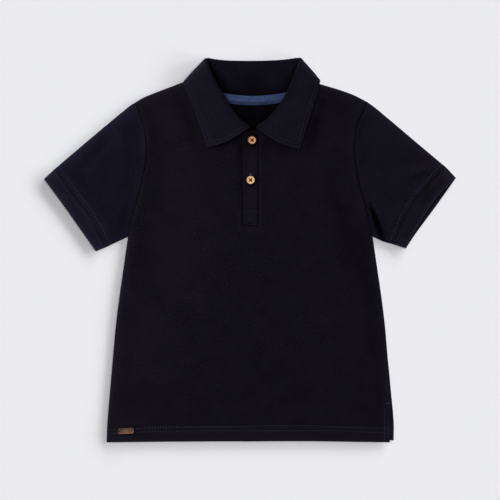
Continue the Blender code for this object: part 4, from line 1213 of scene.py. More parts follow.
def tube_layer(grid, mouth_painted_light):
    """For each point of one layer of a tube: how far it is from the folded edges and from the first ring, how
    much of its thickness is left at the ends, how far it drops at the folded edges, and how much it is rubbed
    and lit with painted sheen, with painted light at a cuff's mouth."""
    fold, run = from_ends(running(grid, 1), 1), running(grid, 0)
    near = 1.0 - np.clip(fold / TUBE_EDGE, 0.0, 1.0)
    drop = TUBE_EDGE_DROP * (1.0 - np.sqrt(1.0 - near * near))
    wear_and_painted_light = np.maximum(edge_wear_and_light(fold), edge_wear_and_light(run[-1:] - run, *mouth_painted_light)) if mouth_painted_light else edge_wear_and_light(fold)
    return fold, run, rounding(from_ends(run, 0)), drop, wear_and_painted_light


def drawn_in(upper, lower):
    """The lines of both layers, drawn in from the folded edges by the width of the wall there."""
    lines = []
    for up, down in zip(upper, lower):
        shares = run_shares(up)
        inset = EDGE_WALL / np.linalg.norm(up[-1] - up[0])
        lines.append([read_line(line, inset + shares * (1.0 - 2.0 * inset), shares) for line in (up, down)])
    return np.array(lines).swapaxes(0, 1)


def cloth_tube(name, upper, lower, rise, material, turned, droop=None):
    """A flattened tube of cloth: two layers over grids of rings by points, joined at both folded edges. Where
    droop is given, the last ring is an open mouth, and the upper layer sinks that far at each ring."""
    is_cuff = droop is not None
    fold, run, share, drop, wear_and_light_up = tube_layer(upper, is_cuff and UPPER_MOUTH_PAINTED_LIGHT)
    rise, to_end = rise[:, None] + 0.0 * fold, run[-1:] - run
    if is_cuff:
        lip = MOUTH_LIP[0] * bell(to_end, MOUTH_LIP[1])
        rise = rise + (lip - droop[:, None]) * (1.0 - np.exp(-fold / LOFT_REACH))
    thin = CLOTH / 2 * (1.0 - share)
    top = upper_height(upper) + CLOTH / 2 + rise - drop - thin + upper_relief(upper) * share
    _, _, share, drop, wear_and_light_down = tube_layer(lower, is_cuff and LOWER_MOUTH_PAINTED_LIGHT)
    thin_down = CLOTH / 2 * (1.0 - share)
    # Painted shade and painted light from the patches, and the darker line of the seams
    darker, lighter = painted_shade_and_light(upper)
    seams = [seam_shade(run, CUFF_SEAM_SHADE)] if is_cuff else [
        seam_shade(run), seam_shade(to_end, CUFF_SEAM_SHADE)]
    darker = np.max([darker, *seams], axis=0)
    up_in, down_in = drawn_in(upper, lower)
    ceiling = upper_height(up_in) - CLOTH / 2 + rise + thin
    inner = closed_loops(up_in, ceiling, down_in, CLOTH - thin_down)
    outer = closed_loops(upper, top, lower, drop + thin_down)
    turn = np.array([[math.cos(turned), math.sin(turned)], [-math.sin(turned), math.cos(turned)]])
    laid = np.hstack([upper, lower[:, ::-1]]).reshape(-1, 2) @ turn
    wear_and_painted_light = np.hstack([np.clip(wear_and_light_up + lighter, 0.0, 1.0), wear_and_light_down[:, ::-1]])
    painted_shade = np.hstack([darker, 0.0 * darker])
    start = np.arange(painted_shade[:-1].size).reshape(-1, painted_shade.shape[1])
    faces = faces_between(start, np.roll(start, -1, axis=1), painted_shade.shape[1], mirrored(upper))
    return wall(name, faces, inner, outer, laid, wear_and_painted_light.ravel(), material, painted_shade.ravel())


def sleeve_patch(side, seam):
    """Grid of rings by points of one layer of a sleeve, from the armhole to the cuff seam."""
    shares = graded(line_length(ARMHOLE[side]), SLEEVE_STEP)
    rings = graded(line_length(SLEEVE_TOP[side]), SLEEVE_STEP, EDGE_STEPS, CUFF_END_STEPS)
    armhole = curve(ARMHOLE, side, shares) + (SIDES[side] * SEAM_GAP, 0.0)
    under, over = curve(UNDERARM, side, rings), curve(SLEEVE_TOP, side, rings)
    under[0], over[0] = armhole[0], armhole[-1]
    return patch(armhole, curve(seam, side, shares), under, over), rings


def cuff_patch(side, seam, mouth):
    """Grid of rings by points of one layer of a cuff, from its seam to its mouth."""
    shares = graded(line_length(CUFF_SEAM[side]), TRIM_STEP)
    first, last = curve(seam, side, shares), curve(mouth, side, shares)
    start = first + unit(last - first) * SEAM_GAP
    rings = graded(CUFF_LENGTH, TRIM_STEP, BAND_ENDS, BAND_ENDS)
    return start + rings[:, None, None] * (last - start), rings


class SHIRT_OT_sleeves(Operator):
    """Makes both sleeves and their cuffs; the left cuff's upper layer is drawn back and stands up a bit."""
    bl_idname = "shirt.sleeves"
    bl_label = "Sleeves and cuffs"

    def execute(self, context):
        for side, sign in SIDES.items():
            rise, grain = MOUTH_RISE[side], SLEEVE_GRAIN * sign
            upper, rings = sleeve_patch(side, UPPER_CUFF_SEAM)
            lower, _ = sleeve_patch(side, CUFF_SEAM)
            sleeve = cloth_tube("sleeve_" + side + "_cloth", upper, lower, rings ** 2 * rise,
                                pique_for("sleeve_" + side), grain)
            cut_cloth(sleeve, "sleeve_" + side)
            upper, rings = cuff_patch(side, UPPER_CUFF_SEAM, UPPER_CUFF_MOUTH)
            lower, _ = cuff_patch(side, CUFF_SEAM, CUFF_MOUTH)
            droop = MOUTH_DROOP[0] * bell((1.0 - rings) * CUFF_LENGTH, MOUTH_DROOP[1])
            cuff = cloth_tube("cuff_" + side + "_cloth", upper, lower, rise * (1.0 + rings),
                              pique_for("cuff_" + side), grain, droop)
            cut_cloth(cuff, "cuff_" + side)
        return {"FINISHED"}


# ---------------------------------------------------------------- collar

def neck_points(side, places):
    """Points of the collar's seam, just inside the neckline: 0 is the front end, 1 the side, 2 the back."""
    front = np.vstack([placed([COLLAR_FRONT_END[side]], side), curve(FRONT_NECK, side, NECK_SHARES)])
    back = smooth_line(BACK_NECK, NECK_SHARES)
    middle = len(back) // 2
    back = back[:middle + 1] if side == "right" else back[middle:][::-1]
    line, at = np.vstack([front, back]), np.r_[run_shares(front), 1 + run_shares(back)]
    keep = np.r_[True, np.diff(at) > 0]
    line, at = line[keep], at[keep]
    inward = square_to(np.gradient(line, axis=0), NECK_MIDDLE - line)
    return read_line(line + inward * NECK_CLEARANCE, places, at)


def collar_rows():
    """The collar's rows in x and y from the right front end to the left one, each led by its neck point."""
    halves = {}
    for side, sign in SIDES.items():
        rows = np.array(COLLAR[side], float)
        rows[:, 1:5:2] *= sign
        dips = END_DIP * np.clip(1.0 - np.arange(len(rows)) / END_DIP_ROWS, 0.0, 1.0)
        halves[side] = np.column_stack([neck_points(side, rows[:, 0]), rows[:, 1:], dips])
    middle = np.r_[neck_points("right", COLLAR_BACK_MIDDLE[:1])[0], COLLAR_BACK_MIDDLE[1:], 0.0]
    table = np.vstack([halves["right"], [middle], halves["left"][::-1]])
    at = run_shares(table)
    spans = len(at) - 1
    start = np.array(COLLAR_END_STEPS)
    between = np.arange(COLLAR_STEPS, COLLAR_STEPS * (spans - 1) + 1) / COLLAR_STEPS
    places = np.r_[start, between, spans - start[::-1]]
    return smooth_line(table, np.interp(places, np.arange(len(at)), at))


def collar_surface():
    """The middle of the collar's wall: a grid of sections from the neck seam over the roll to the free edge,
    the direction out of it, and the first column of the fall."""
    rows = collar_rows()
    neck, roll, edge, dip = rows[:, 0:2], rows[:, 2:4], rows[:, 4:6], rows[:, 7]
    angle = math.pi * np.clip(rows[:, 6], 0.0, 1.0)
    turn = (1.0 - np.cos(angle)) / 2.0
    on_front = upper_height(neck)
    start = np.column_stack([neck, blend(turn, back_height(neck), on_front)])
    stop = np.column_stack([edge, blend(turn, CLOTH / 2, upper_height(edge) + CLOTH + CLEARANCE)])
    radius = blend(turn, BACK_ROLL_RADIUS, FRONT_ROLL_RADIUS)[:, None]
    roll_height = blend(turn, CLOTH / 2 + BACK_ROLL_RADIUS, on_front + ROLL_RISE + FRONT_ROLL_RADIUS)
    out = unit(roll - (neck + edge) / 2)
    across = square_to(out, NECK_MIDDLE - roll)
    inward = np.column_stack([np.sin(angle)[:, None] * across, np.cos(angle)])
    out = np.column_stack([out, np.zeros(len(out))])
    centre = np.column_stack([roll, roll_height]) - (radius + CLOTH / 2) * out
    arc = [centre + radius * (math.cos(a) * out + math.sin(a) * inward) for a in ROLL_ANGLES]
    stand = [start + (arc[0] - start) * step / STAND_STEPS for step in range(STAND_STEPS)]
    leaf = []
    for share in graded(LEAF_LENGTH, TRIM_STEP, PLAIN, LEAF_STEPS)[1:]:
        swell = math.sin(math.pi * share)
        bow = (LEAF_BOW * swell * np.clip(2 * turn - 1, 0, 1))[:, None]
        point = arc[-1] + (stop - arc[-1]) * share - inward * bow
        point[:, 1] -= dip * swell
        leaf.append(point)
    grid = np.array(stand + arc + leaf).swapaxes(0, 1)
    normal = unit(np.cross(directions(grid.swapaxes(0, 1)).swapaxes(0, 1), directions(grid)))
    return grid, normal, STAND_STEPS + len(ROLL_ANGLES)


def directions(grid):
    """The direction of a grid's lines at each point, the mean of the pieces before and after it."""
    piece = unit(np.diff(grid, axis=0))
    return unit(np.concatenate([piece[:1], piece[:-1] + piece[1:], piece[-1:]]))


def outward(grid, normal, leaf):
    """1 where the collar's normals point out of the side of the fall that shows, and -1 elsewhere."""
    return np.sign(normal[grid.shape[0] // 4, (leaf + grid.shape[1]) // 2, 2])


def collar_edges(grid):
    """The distance from each point of the collar to its free edge, and to its nearer front end."""
    return distance_to(grid, grid[:, -1]), distance_to(grid, grid[0], grid[-1])


def collar_shade(grid):
    """The painted shade on the collar at each point: in the stand, and on the fall beside the roll and in
    front.
    """
    place, up, column = grid[..., :2], grid[..., 1], np.arange(grid.shape[1])
    roll = grid[:, STAND_STEPS + len(ROLL_ANGLES) // 2, :2]
    middle = len(roll) // 2
    lower = ramp(up, *STAND_LOW)
    weaker = blend(ramp(up, *STAND_HIGH[:2]), STAND_HIGH[2], 1.0)
    lit = (1.0 - STAND_SHADE) * (1.0 - STAND_SEAM_SHADE[0] * bell(running(grid, 1), STAND_SEAM_SHADE[1]))
    halves = (roll[:middle - STAND_ROLL_BACK], roll[middle + STAND_ROLL_BACK:])
    for line, (share, reach, more) in zip(halves, STAND_ROLL_SHADE):
        lit *= 1.0 - share * weaker * bell(distance_to(place, line), reach + more * lower)
    share, x, y, across, along = STAND_MIDDLE_SHADE
    lit *= 1.0 - share * bell(grid[..., 0] - x, across) * bell(up - y, along)
    # Painted shade inside the stand, fading out before the roll
    inside = np.clip(1.0 - lit + uneven(place, *STAND_UNEVEN), 0.0, 1.0) * ramp(column, *STAND_SHADE_END)
    share, reach, *end = FALL_ROLL_SHADE
    beside_roll = share * bell(distance_to(place, roll), reach) * ramp(up, *end)
    share, reach, front = FALL_FRONT_SHADE
    at_front = share * bell(np.linalg.norm(place - front, axis=2), reach)
    return inside + ramp(column, *FALL_SHADE_START) * np.maximum(beside_roll, at_front)


class SHIRT_OT_collar(Operator):
    """Makes the collar in one piece: a stand that rises from the neck seam and a fall that folds over it."""
    bl_idname = "shirt.collar"
    bl_label = "Collar"

    def execute(self, context):
        grid, normal, leaf = collar_surface()
        free, ends = collar_edges(grid)
        rim = np.minimum(free, ends)
        on_leaf = (np.arange(grid.shape[1]) >= leaf) * 1.0
        seam = LEAF_SEAM * smooth_step((LEAF_SEAM_WIDTH - rim) / LEAF_SEAM_EDGE + 0.5)
        needle = LEAF_NEEDLE * bell(rim - LEAF_STITCH_IN, LEAF_NEEDLE_WIDTH)
        half = (CLOTH / 2 + on_leaf * (seam - needle)) * rounding(rim)
        waves = uneven(grid[..., :2], *LEAF_UNEVEN) * ramp(rim, *LEAF_UNEVEN_IN) * on_leaf
        surface = grid + normal * waves[..., None]
        outside = outward(grid, normal, leaf)
        shown, hidden = (
            (surface + normal * (way * half)[..., None]).reshape(-1, 3) for way in (outside, -outside))
        for side in (shown, hidden):
            side[:, 2] = np.maximum(side[:, 2], 0.0)
        along = running(grid, 0)
        laid = np.stack([along - along[len(along) // 2], running(grid, 1)], axis=2).reshape(-1, 2)
        faces = grid_faces(*grid.shape[:2], flip=outside < 0)
        folds = distance_to(grid[..., :2], *COLLAR_FOLDS)
        # Wear and painted sheen at the free edge and front ends, a painted highlight along the folds, and
        # painted light over the right fall
        at_edge, at_ends, at_folds = (
            edge_wear_and_light(distance, *most) for distance, most in zip((free, ends, folds), COLLAR_WEAR_AND_LIGHT))
        more, start, run = RIGHT_FALL_PAINTED_LIGHT
        wear_and_painted_light = np.max([at_edge, at_ends * on_leaf, at_folds * on_leaf], axis=0)
        wear_and_painted_light = np.clip(wear_and_painted_light + more * on_leaf * ramp(grid[..., 0], start, run), 0.0, 1.0)
        piece = wall("collar_cloth", faces, hidden, shown, laid, wear_and_painted_light.ravel(), pique_for("collar"),
                     painted_shade=collar_shade(grid).ravel())
        cut_cloth(piece, "collar")
        return {"FINISHED"}


# ---------------------------------------------------------------- plackets and neck tape

def spread(start, stop, step, ends):
    """Places from a start to a stop, about a step apart, and closer at both ends."""
    return start + (stop - start) * graded(stop - start, step, ends, ends)


class SHIRT_OT_plackets(Operator):
    """Makes the top placket with its rounded corner, and the band under it that holds the buttons."""
    bl_idname = "shirt.plackets"
    bl_label = "Plackets"

    def execute(self, context):
        columns = spread(PLACKET_EDGE + PLACKET_INSET, PLACKET_FOLD, PLACKET_STEP, BAND_ENDS)
        rows = graded(PLACKET_HEAD - PLACKET_FOOT, TRIM_STEP, TRIM_ENDS, TRIM_ENDS)[:, None]
        drop = np.clip(PLACKET_EDGE + PLACKET_CORNER - columns, 0.0, None)
        head = PLACKET_HEAD - PLACKET_CORNER + np.sqrt(PLACKET_CORNER ** 2 - drop ** 2)
        y = PLACKET_FOOT + rows * (head - PLACKET_FOOT)
        points, faces, rim = flat_piece(np.stack([columns + 0.0 * y, y], axis=2))
        middle = upper_height(points) - CLOTH / 2 + PLACKET / 2
        half = PLACKET / 2 * rounding(rim)
        x0, x1, y0, y1 = PLACKET_BOX
        box = ((x0, y0), (x1, y0), (x1, y1), (x0, y1), (x0, y0), (x1, y1), (x1, y0), (x0, y1))
        darker, lighter = painted_shade_and_light(points)
        # Painted shadow on the placket round each button
        for node, share in BUTTON_SHADE.items():
            low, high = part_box(node)
            off = np.linalg.norm(points - np.array((low + high)[:2]) / 2 / MM, axis=1)
            darker = np.maximum(darker, share * ramp(off, *BUTTON_SHADE_REACH))
        pulled = PLACKET_NEEDLE_DEPTH * bell(distance_to(points, box), NEEDLE_WIDTH)
        piece = flat_wall("placket_top_cloth", points, faces, middle - half, middle + half - pulled,
                          lighter, pique_for("body"), painted_shade=darker * smooth_step(rim / PLACKET_FACE))
        cut_cloth(piece, "placket_top")
        x0, x1, y0, y1 = UNDER_PLACKET
        across, up = spread(x0, x1, TRIM_STEP, NEAR_EDGE), spread(y0, y1, 2 * TRIM_STEP, NEAR_EDGE)
        points, faces, rim = flat_piece(np.stack(np.meshgrid(across, up), axis=2))
        half, middle = CLOTH / 2 * rounding(rim), upper_height(points) - CLOTH - GAP
        piece = flat_wall("placket_under_cloth", points, faces, middle - half, middle + half, 0.0 * half,
                          pique_for("body"))
        cut_cloth(piece, "placket_under")
        return {"FINISHED"}


def tape_grid():
    """The tape's flat points, its rows from the lower edge to the upper one."""
    neck = smooth_line(BACK_NECK, TAPE_NECK_SHARES)
    x = spread(*TAPE_ENDS, TRIM_STEP, TRIM_ENDS)
    top_edge = np.column_stack([x, np.interp(x, neck[:, 0], neck[:, 1])])
    down = square_to(np.gradient(top_edge, x, axis=0), (0.0, -1.0))
    rows = 1.0 - graded(TAPE_WIDTH, TAPE_STEP, TRIM_ENDS, TRIM_ENDS)[:, None, None]
    return top_edge[None] + down[None] * (TAPE_INSET + rows * TAPE_WIDTH)


class SHIRT_OT_neck_tape(Operator):
    """Makes the twill tape that covers the back's neck seam inside."""
    bl_idname = "shirt.neck_tape"
    bl_label = "Neck tape"

    def execute(self, context):
        grid = tape_grid()
        points, faces, rim = flat_piece(grid)
        lower = distance_to(points, grid[0])
        share = rounding(rim, TAPE / 2)
        middle, half = back_height(points) + CLOTH / 2 + CLEARANCE + TAPE / 2, TAPE / 2 * share
        # Painted shade on the tape below its stitches and at its ends, under the collar
        below_stitches = smooth_step((TAPE_STITCH_UP - lower) / TAPE_SHADE_EDGE + 0.5)
        centre, out, run = TAPE_END_RUN
        ends = TAPE_END_SHADE * ramp(np.abs(points[:, 0] - centre), out, run)
        laid = np.stack([running(grid, 1), running(grid, 0)], axis=2).reshape(-1, 2)
        material = finish_for("neck_twill", twill_finish, context.scene.shirt_trims.tape)
        high = middle + half - sunk(lower - TAPE_STITCH_UP) * share
        piece = flat_wall("tape_cloth", points, faces, middle - half, high, edge_wear_and_light(rim), material, laid,
                          painted_shade=np.maximum(below_stitches, ends))
        cut_cloth(piece, "neck_tape")
        return {"FINISHED"}


# ---------------------------------------------------------------- sewing

def to_mode(mode):
    bpy.ops.object.mode_set(mode=mode)


def deselect_all():
    if bpy.context.object and bpy.context.object.mode != "OBJECT":
        to_mode("OBJECT")
    bpy.ops.object.select_all(action="DESELECT")


def apply_place():
    bpy.ops.object.transform_apply(location=True, rotation=True, scale=True)


def apply_modifiers(piece):
    for modifier in list(piece.modifiers):
        bpy.ops.object.modifier_apply(modifier=modifier.name)


def discard(piece):
    mesh = piece.data
    bpy.data.objects.remove(piece)
    bpy.data.meshes.remove(mesh)


def stitch_pattern():
    """The points and faces of one stitch: a short length of thread that dives into the cloth at both ends."""
    deselect_all()
    turn = (0.0, math.pi / 2, 0.0)
    bpy.ops.mesh.primitive_uv_sphere_add(segments=6, ring_count=4, radius=0.5, rotation=turn)
    pattern = bpy.context.object
    apply_place()
    points = np.array([tuple(vertex.co) for vertex in pattern.data.vertices])
    faces = [tuple(face.vertices) for face in pattern.data.polygons]
    discard(pattern)
    return points, faces


def surface_of(*pieces):
    """A search tree over the faces of finished pieces."""
    points, faces, first = [], [], 0
    for piece in pieces:
        mesh = piece.data
        points += [vertex.co[:] for vertex in mesh.vertices]
        faces += [tuple(first + i for i in face.vertices) for face in mesh.polygons]
        first = len(points)
    return BVHTree.FromPolygons(points, faces)


def spaced(line, pitch):
    """Places along a line, one pitch apart: their points, the line's direction there, and how far along."""
    run = runs(line)
    count = max(1, int(run[-1] / pitch))
    places = (np.arange(count) + 0.5) * run[-1] / count
    ahead = read_line(line, np.minimum(places + STITCH_AHEAD, run[-1]), run)
    behind = read_line(line, np.maximum(places - STITCH_AHEAD, 0.0), run)
    return read_line(line, places, run), unit(ahead - behind), places


def laid_on(tree, line, pitch, up=1.0):
    """Stitches along a flat line, laid on the cloth under it, or over it where up is -1. Each stitch is its
    place, its direction and the direction out of the cloth."""
    found = []
    points, directions_along, _ = spaced(np.asarray(line, float), pitch)
    for point, along in zip(points, directions_along):
        place, normal, _, _ = tree.ray_cast((*(point * MM), CAST_FROM * up), (0.0, 0.0, -up))
        if place is None:
            continue
        normal = np.array(normal) * (1.0 if normal.z * up > 0 else -1.0)
        direction = np.array([*along, 0.0])
        direction -= normal * (direction @ normal)
        found.append((np.array(place) / MM, unit(direction), normal))
    return found


def sew(name, stitches, thread, length, width, slot="pique", proud=0.12, unevenness=0.3):
    """One joined mesh of stitches, each slightly different in length and slant."""
    pattern, pattern_faces = stitch_pattern()
    count, number = len(pattern), len(stitches)
    vary = np.random.default_rng(number)
    places, along, out = np.array(stitches).swapaxes(0, 1)
    side = np.cross(out, along)
    along = along + side * vary.normal(0.0, unevenness / 2, (number, 1))
    lengths = length * (1.0 + vary.uniform(-unevenness, unevenness, (number, 1, 1)))
    places = places + out * proud * vary.uniform(*THREAD_PROUD, (number, 1))
    sizes = (lengths, width, THREAD_FLAT * width)
    points = places[:, None] + sum(
        way[:, None] * pattern[None, :, axis:axis + 1] * size
        for axis, (way, size) in enumerate(zip((along, side, out), sizes)))
    points[..., 2] = np.maximum(points[..., 2], THREAD_LOWEST)
    firsts = range(0, number * count, count)
    faces = [tuple(first + i for i in face) for first in firsts for face in pattern_faces]
    attach(new_piece(name, points.reshape(-1, 3), faces, thread_for(thread)), [])


def level_line(grid, out, distance, other):
    """Where each line of a grid first comes as near to one edge as the stitches are, kept off the other edge:
    the points, and the directions out of the cloth there."""
    line, normals = [], []
    for row in range(grid.shape[0]):
        for column in range(grid.shape[1] - 1):
            a, b = distance[row, column:column + 2] - LEAF_STITCH_IN
            if a >= 0.0 > b and other[row, column] >= LEAF_STITCH_CLEAR:
                line.append(blend(a / (a - b), grid[row, column], grid[row, column + 1]))
                normals.append(out[row, column])
                break
    return np.array(line), np.array(normals)


def follow(line, out, pitch):
    """Stitches along a line in space with the given directions out of the cloth."""
    points, along, places = spaced(line, pitch)
    normals = unit(read_line(out, places, runs(line)))
    along = unit(along - normals * np.sum(along * normals, axis=1)[:, None])
    return list(zip(points, along, normals))


def collar_stitches(pitch):
    """Stitches round the fall, a little in from its free edge and both of its front ends."""
    grid, normal, leaf = collar_surface()
    free, ends = collar_edges(grid)
    out = normal * outward(grid, normal, leaf)
    surface = grid + out * (CLOTH / 2 - LEAF_NEEDLE)
    found = follow(*level_line(*(array[:, leaf:] for array in (surface, out, free, ends))), pitch)
    half = grid.shape[0] // 2
    for rows, end in ((slice(half - 1, None, -1), 0), (slice(half, None), -1)):
        arrays = (surface, out, distance_to(grid, grid[end]), free)
        found += follow(*level_line(*(array[rows, leaf + 1:].swapaxes(0, 1) for array in arrays)), pitch)
    return found


def bar(tree, centre, length):
    """Close stitches side by side, as in a bartack: a bar across the shirt whose threads lie up it."""
    line = np.array(centre) + ((length / 2, 0.0), (-length / 2, 0.0))
    return [(place, np.cross(out, along), out) for place, along, out in laid_on(tree, line, BAR_PITCH)]


class SHIRT_OT_sewing(Operator):
    """Sews the hems, vent, cuffs, collar, placket, tape and bars, stitch by stitch, on the finished cloth."""
    bl_idname = "shirt.sewing"
    bl_label = "Sewing"

    def execute(self, context):
        sewing = context.scene.shirt_sewing
        pitch, cuff_pitch = sewing.pitch / MM, sewing.cuff_pitch / MM
        size = sewing.stitch_length / MM, sewing.stitch_width / MM
        pieces = bpy.data.objects

        def along(tree, lines, spacing=pitch, up=1.0):
            return [stitch for line in lines for stitch in laid_on(tree, line, spacing, up)]

        front = surface_of(pieces["front_cloth"], pieces["placket_top_cloth"])
        back, tape = surface_of(pieces["back_cloth"]), surface_of(pieces["tape_cloth"])
        hems = np.array(HEM_UPPER_NEEDLE), np.array(HEM_LOWER_NEEDLE)
        sew("hem_stitches", along(front, hems), "thread", *size)
        shown = [read_line(line, BACK_SHOWN, line[:, 0]) for line in hems]
        found = along(back, hems, up=-1.0) + along(back, (*shown, BACK_VENT_SEWING))
        sew("back_hem_stitches", found, "thread", *size, proud=0.0)
        sew("vent_stitches", along(front, [VENT_SEWING]), "thread", *size)
        for side in SIDES:
            sleeve = surface_of(pieces["sleeve_" + side + "_cloth"])
            found = along(sleeve, [sleeve_sewing(side, UPPER_CUFF_SEAM, UPPER_CUFF_MOUTH)], cuff_pitch)
            found += along(sleeve, [sleeve_sewing(side, CUFF_SEAM, CUFF_MOUTH)], cuff_pitch, -1.0)
            sew("cuff_stitches_" + side, found, "thread", *size)
        sew("collar_stitches", collar_stitches(pitch), "collar", *size, slot="collar_pique")
        x0, x1, y0, y1 = PLACKET_BOX
        lines = [
            PLACKET_SIDE_SEWING, FACING_SEWING,
            ((x0, y0), (x1, y0)), ((x0, y1), (x1, y1)), ((x1, y1), (x1, y0)),
            ((x0, y0), (x1, y1)), ((x0, y1), (x1, y0)),
        ]
        sew("placket_stitches", along(front, lines), "placket", *size)
        grid = tape_grid()
        line = grid[np.argmin(np.abs(running(grid, 0)[:, 0] - TAPE_STITCH_UP))]
        sew("tape_stitches", along(tape, [line]), "thread", *size, slot="neck_tape")
        for name, (centre, length, thread) in BARS.items():
            sew(name, bar(front, centre, length), "bars", thread, BAR_THREAD)
        return {"FINISHED"}


# ---------------------------------------------------------------- buttons and hem plate

def finished(piece, width, angle, material):
    """Rounds off a piece's sharp edges, shades it smooth up to an angle, and gives it its material."""
    soften = piece.modifiers.new("soften", "BEVEL")
    soften.width = width * MM
    soften.segments = 2
    soften.limit_method = "ANGLE"
    soften.angle_limit = math.radians(SOFTEN_ABOVE)
    apply_modifiers(piece)
    bpy.ops.object.shade_smooth_by_angle(angle=math.radians(angle))
    piece.data.materials.clear()
    piece.data.materials.append(material)


def flat_places(piece):
    """Where the points of a piece are in x and y, in metres."""
    return np.array([vertex.co[:2] for vertex in piece.data.vertices])


def level_way(angle):
    """The level direction at an angle from X."""
    return np.array([math.cos(angle), math.sin(angle), 0.0])


def turned_button(name, node, material, face):
    """A turned button with a raised rim and a dished middle, bored with four holes. Returns its top."""
    low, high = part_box(node)
    radius, thickness = (high.x - low.x) / 2, high.z - low.z
    middle = ((low.x + high.x) / 2, (low.y + high.y) / 2)
    deselect_all()
    bpy.ops.mesh.primitive_circle_add(vertices=BUTTON_SIDES, radius=radius * BUTTON_PROFILE[0][0],
                                      fill_type="NGON", location=(*middle, low.z))
    button = bpy.context.object
    button.name = name
    to_mode("EDIT")
    bpy.ops.mesh.select_all(action="SELECT")
    for (share, height), (next_share, next_height) in zip(BUTTON_PROFILE, BUTTON_PROFILE[1:]):
        rise, ratio = (next_height - height) * thickness, next_share / share
        bpy.ops.mesh.extrude_region_move(TRANSFORM_OT_translate={"value": (0.0, 0.0, rise)})
        centre = (*middle, low.z + next_height * thickness)
        bpy.ops.transform.resize(value=(ratio, ratio, 1.0), center_override=centre)
    bpy.ops.mesh.select_all(action="SELECT")
    bpy.ops.mesh.normals_make_consistent(inside=False)
    to_mode("OBJECT")
    apply_place()
    half = BUTTON_HOLE_SPACING * MM / 2
    for x, y in ((-half, -half), (-half, half), (half, -half), (half, half)):
        bpy.ops.object.select_all(action="DESELECT")
        bpy.ops.mesh.primitive_cylinder_add(
            vertices=HOLE_SIDES, radius=BUTTON_HOLE_RADIUS * MM, depth=4 * thickness,
            location=(middle[0] + x, middle[1] + y, low.z + thickness / 2))
        cutter = bpy.context.object
        apply_place()
        cutter.select_set(False)
        bpy.context.view_layer.objects.active = button
        button.select_set(True)
        cut = button.modifiers.new("hole", "BOOLEAN")
        cut.operation = "DIFFERENCE"
        cut.object = cutter
        apply_modifiers(button)
        discard(cutter)
    finished(button, BUTTON_EDGE, BUTTON_SMOOTH, material)
    off = np.linalg.norm(flat_places(button) - middle, axis=1) / MM
    # Painted shadow at the rim and painted shade in the dish
    dark, *dish = BUTTON_DISH
    rim = smooth_step((off - face) / BUTTON_FACE_EDGE + 0.5) + dark * ramp(off, *dish)
    keep_values(button, "rim", rim)
    attach(button, [node])
    return np.array([*middle, low.z + thickness]) / MM


def button_thread(name, centre):
    """Thread that crosses from hole to hole of a button."""
    found = []
    for along in (level_way(math.pi / 4), level_way(-math.pi / 4)):
        for shift in (-BUTTON_THREAD_APART, BUTTON_THREAD_APART):
            found.append((centre + np.cross(UP, along) * shift - UP * BUTTON_THREAD_DEEP, along, UP))
    reach = BUTTON_HOLE_SPACING * math.sqrt(2.0) * BUTTON_THREAD_REACH
    sew(name, found, "button_thread", reach, BUTTON_THREAD_WIDTH, slot="button", unevenness=0.05)


class SHIRT_OT_buttons(Operator):
    """Turns both buttons and sews them on."""
    bl_idname = "shirt.buttons"
    bl_label = "Buttons"

    def execute(self, context):
        trims = context.scene.shirt_trims
        for place in ("upper", "lower"):
            material = finish_for(place + "_button_wood", wood_finish, getattr(trims, place + "_button"))
            top = turned_button(place + "_button", "button_" + place, material, BUTTON_FACE[place])
            button_thread(place + "_button_thread", top)
        return {"FINISHED"}


class SHIRT_OT_hem_plate(Operator):
    """Makes the small plate near the hem, with rounded corners, a pressed rim and a stitch at each end."""
    bl_idname = "shirt.hem_plate"
    bl_label = "Hem plate"

    def execute(self, context):
        low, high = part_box("hem_label")
        middle = (low + high) / 2
        front = surface_of(bpy.data.objects["front_cloth"])
        ground = front.ray_cast((middle.x, middle.y, CAST_FROM), (0.0, 0.0, -1.0))[0].z
        long, wide, thick = (side * MM for side in PLATE_SIZE)
        deselect_all()
        bpy.ops.mesh.primitive_cube_add(size=1.0, location=(0.0, 0.0, 0.0), scale=(long, wide, thick))
        plate = bpy.context.object
        plate.name = "hem_plate"
        apply_place()
        to_mode("EDIT")
        bpy.ops.mesh.select_all(action="DESELECT")
        to_mode("OBJECT")
        for edge in plate.data.edges:
            ends = [plate.data.vertices[i].co for i in edge.vertices]
            edge.select = abs(ends[0].z - ends[1].z) > thick / 2
        to_mode("EDIT")
        bpy.ops.mesh.select_mode(type="EDGE")
        bpy.ops.mesh.bevel(offset=PLATE_CORNER * MM, segments=5)
        to_mode("OBJECT")
        for face in plate.data.polygons:
            face.select = face.normal.z > 0.9
        to_mode("EDIT")
        bpy.ops.mesh.select_mode(type="FACE")
        rim, step, depth = (size * MM for size in PLATE_INSET)
        bpy.ops.mesh.inset(thickness=rim)
        bpy.ops.mesh.inset(thickness=step, depth=-depth)
        to_mode("OBJECT")
        material = finish_for("hem_plate_board", plate_finish, context.scene.shirt_trims.plate)
        finished(plate, PLATE_EDGE, PLATE_SMOOTH, material)
        inset = np.min((long, wide) - 2 * np.abs(flat_places(plate)), axis=1) / 2 / MM
        keep_values(plate, "rim", ramp(inset, *PLATE_RIM))
        middle.y += PLATE_UP * MM
        plate.location = (middle.x, middle.y, ground + thick / 2 + PLATE_GAP * MM)
        plate.rotation_euler.z = PLATE_TILT
        apply_place()
        attach(plate, ["hem_label"])
        top, along = np.array([middle.x, middle.y, ground + thick]) / MM, level_way(PLATE_TILT)
        out = PLATE_SIZE[0] / 2 - PLATE_STITCH_IN
        found = [(top + along * place, along, UP) for place in (-out, out)]
        sew("hem_plate_thread", found, "button_thread", *PLATE_STITCH, slot="hem_plate", unevenness=0.02)
        return {"FINISHED"}


# ---------------------------------------------------------------- studio

def towards(azimuth, elevation):
    """The direction to a light: azimuth runs from the right towards the collar."""
    return Vector(level_way(azimuth) * math.cos(elevation) + UP * math.sin(elevation))


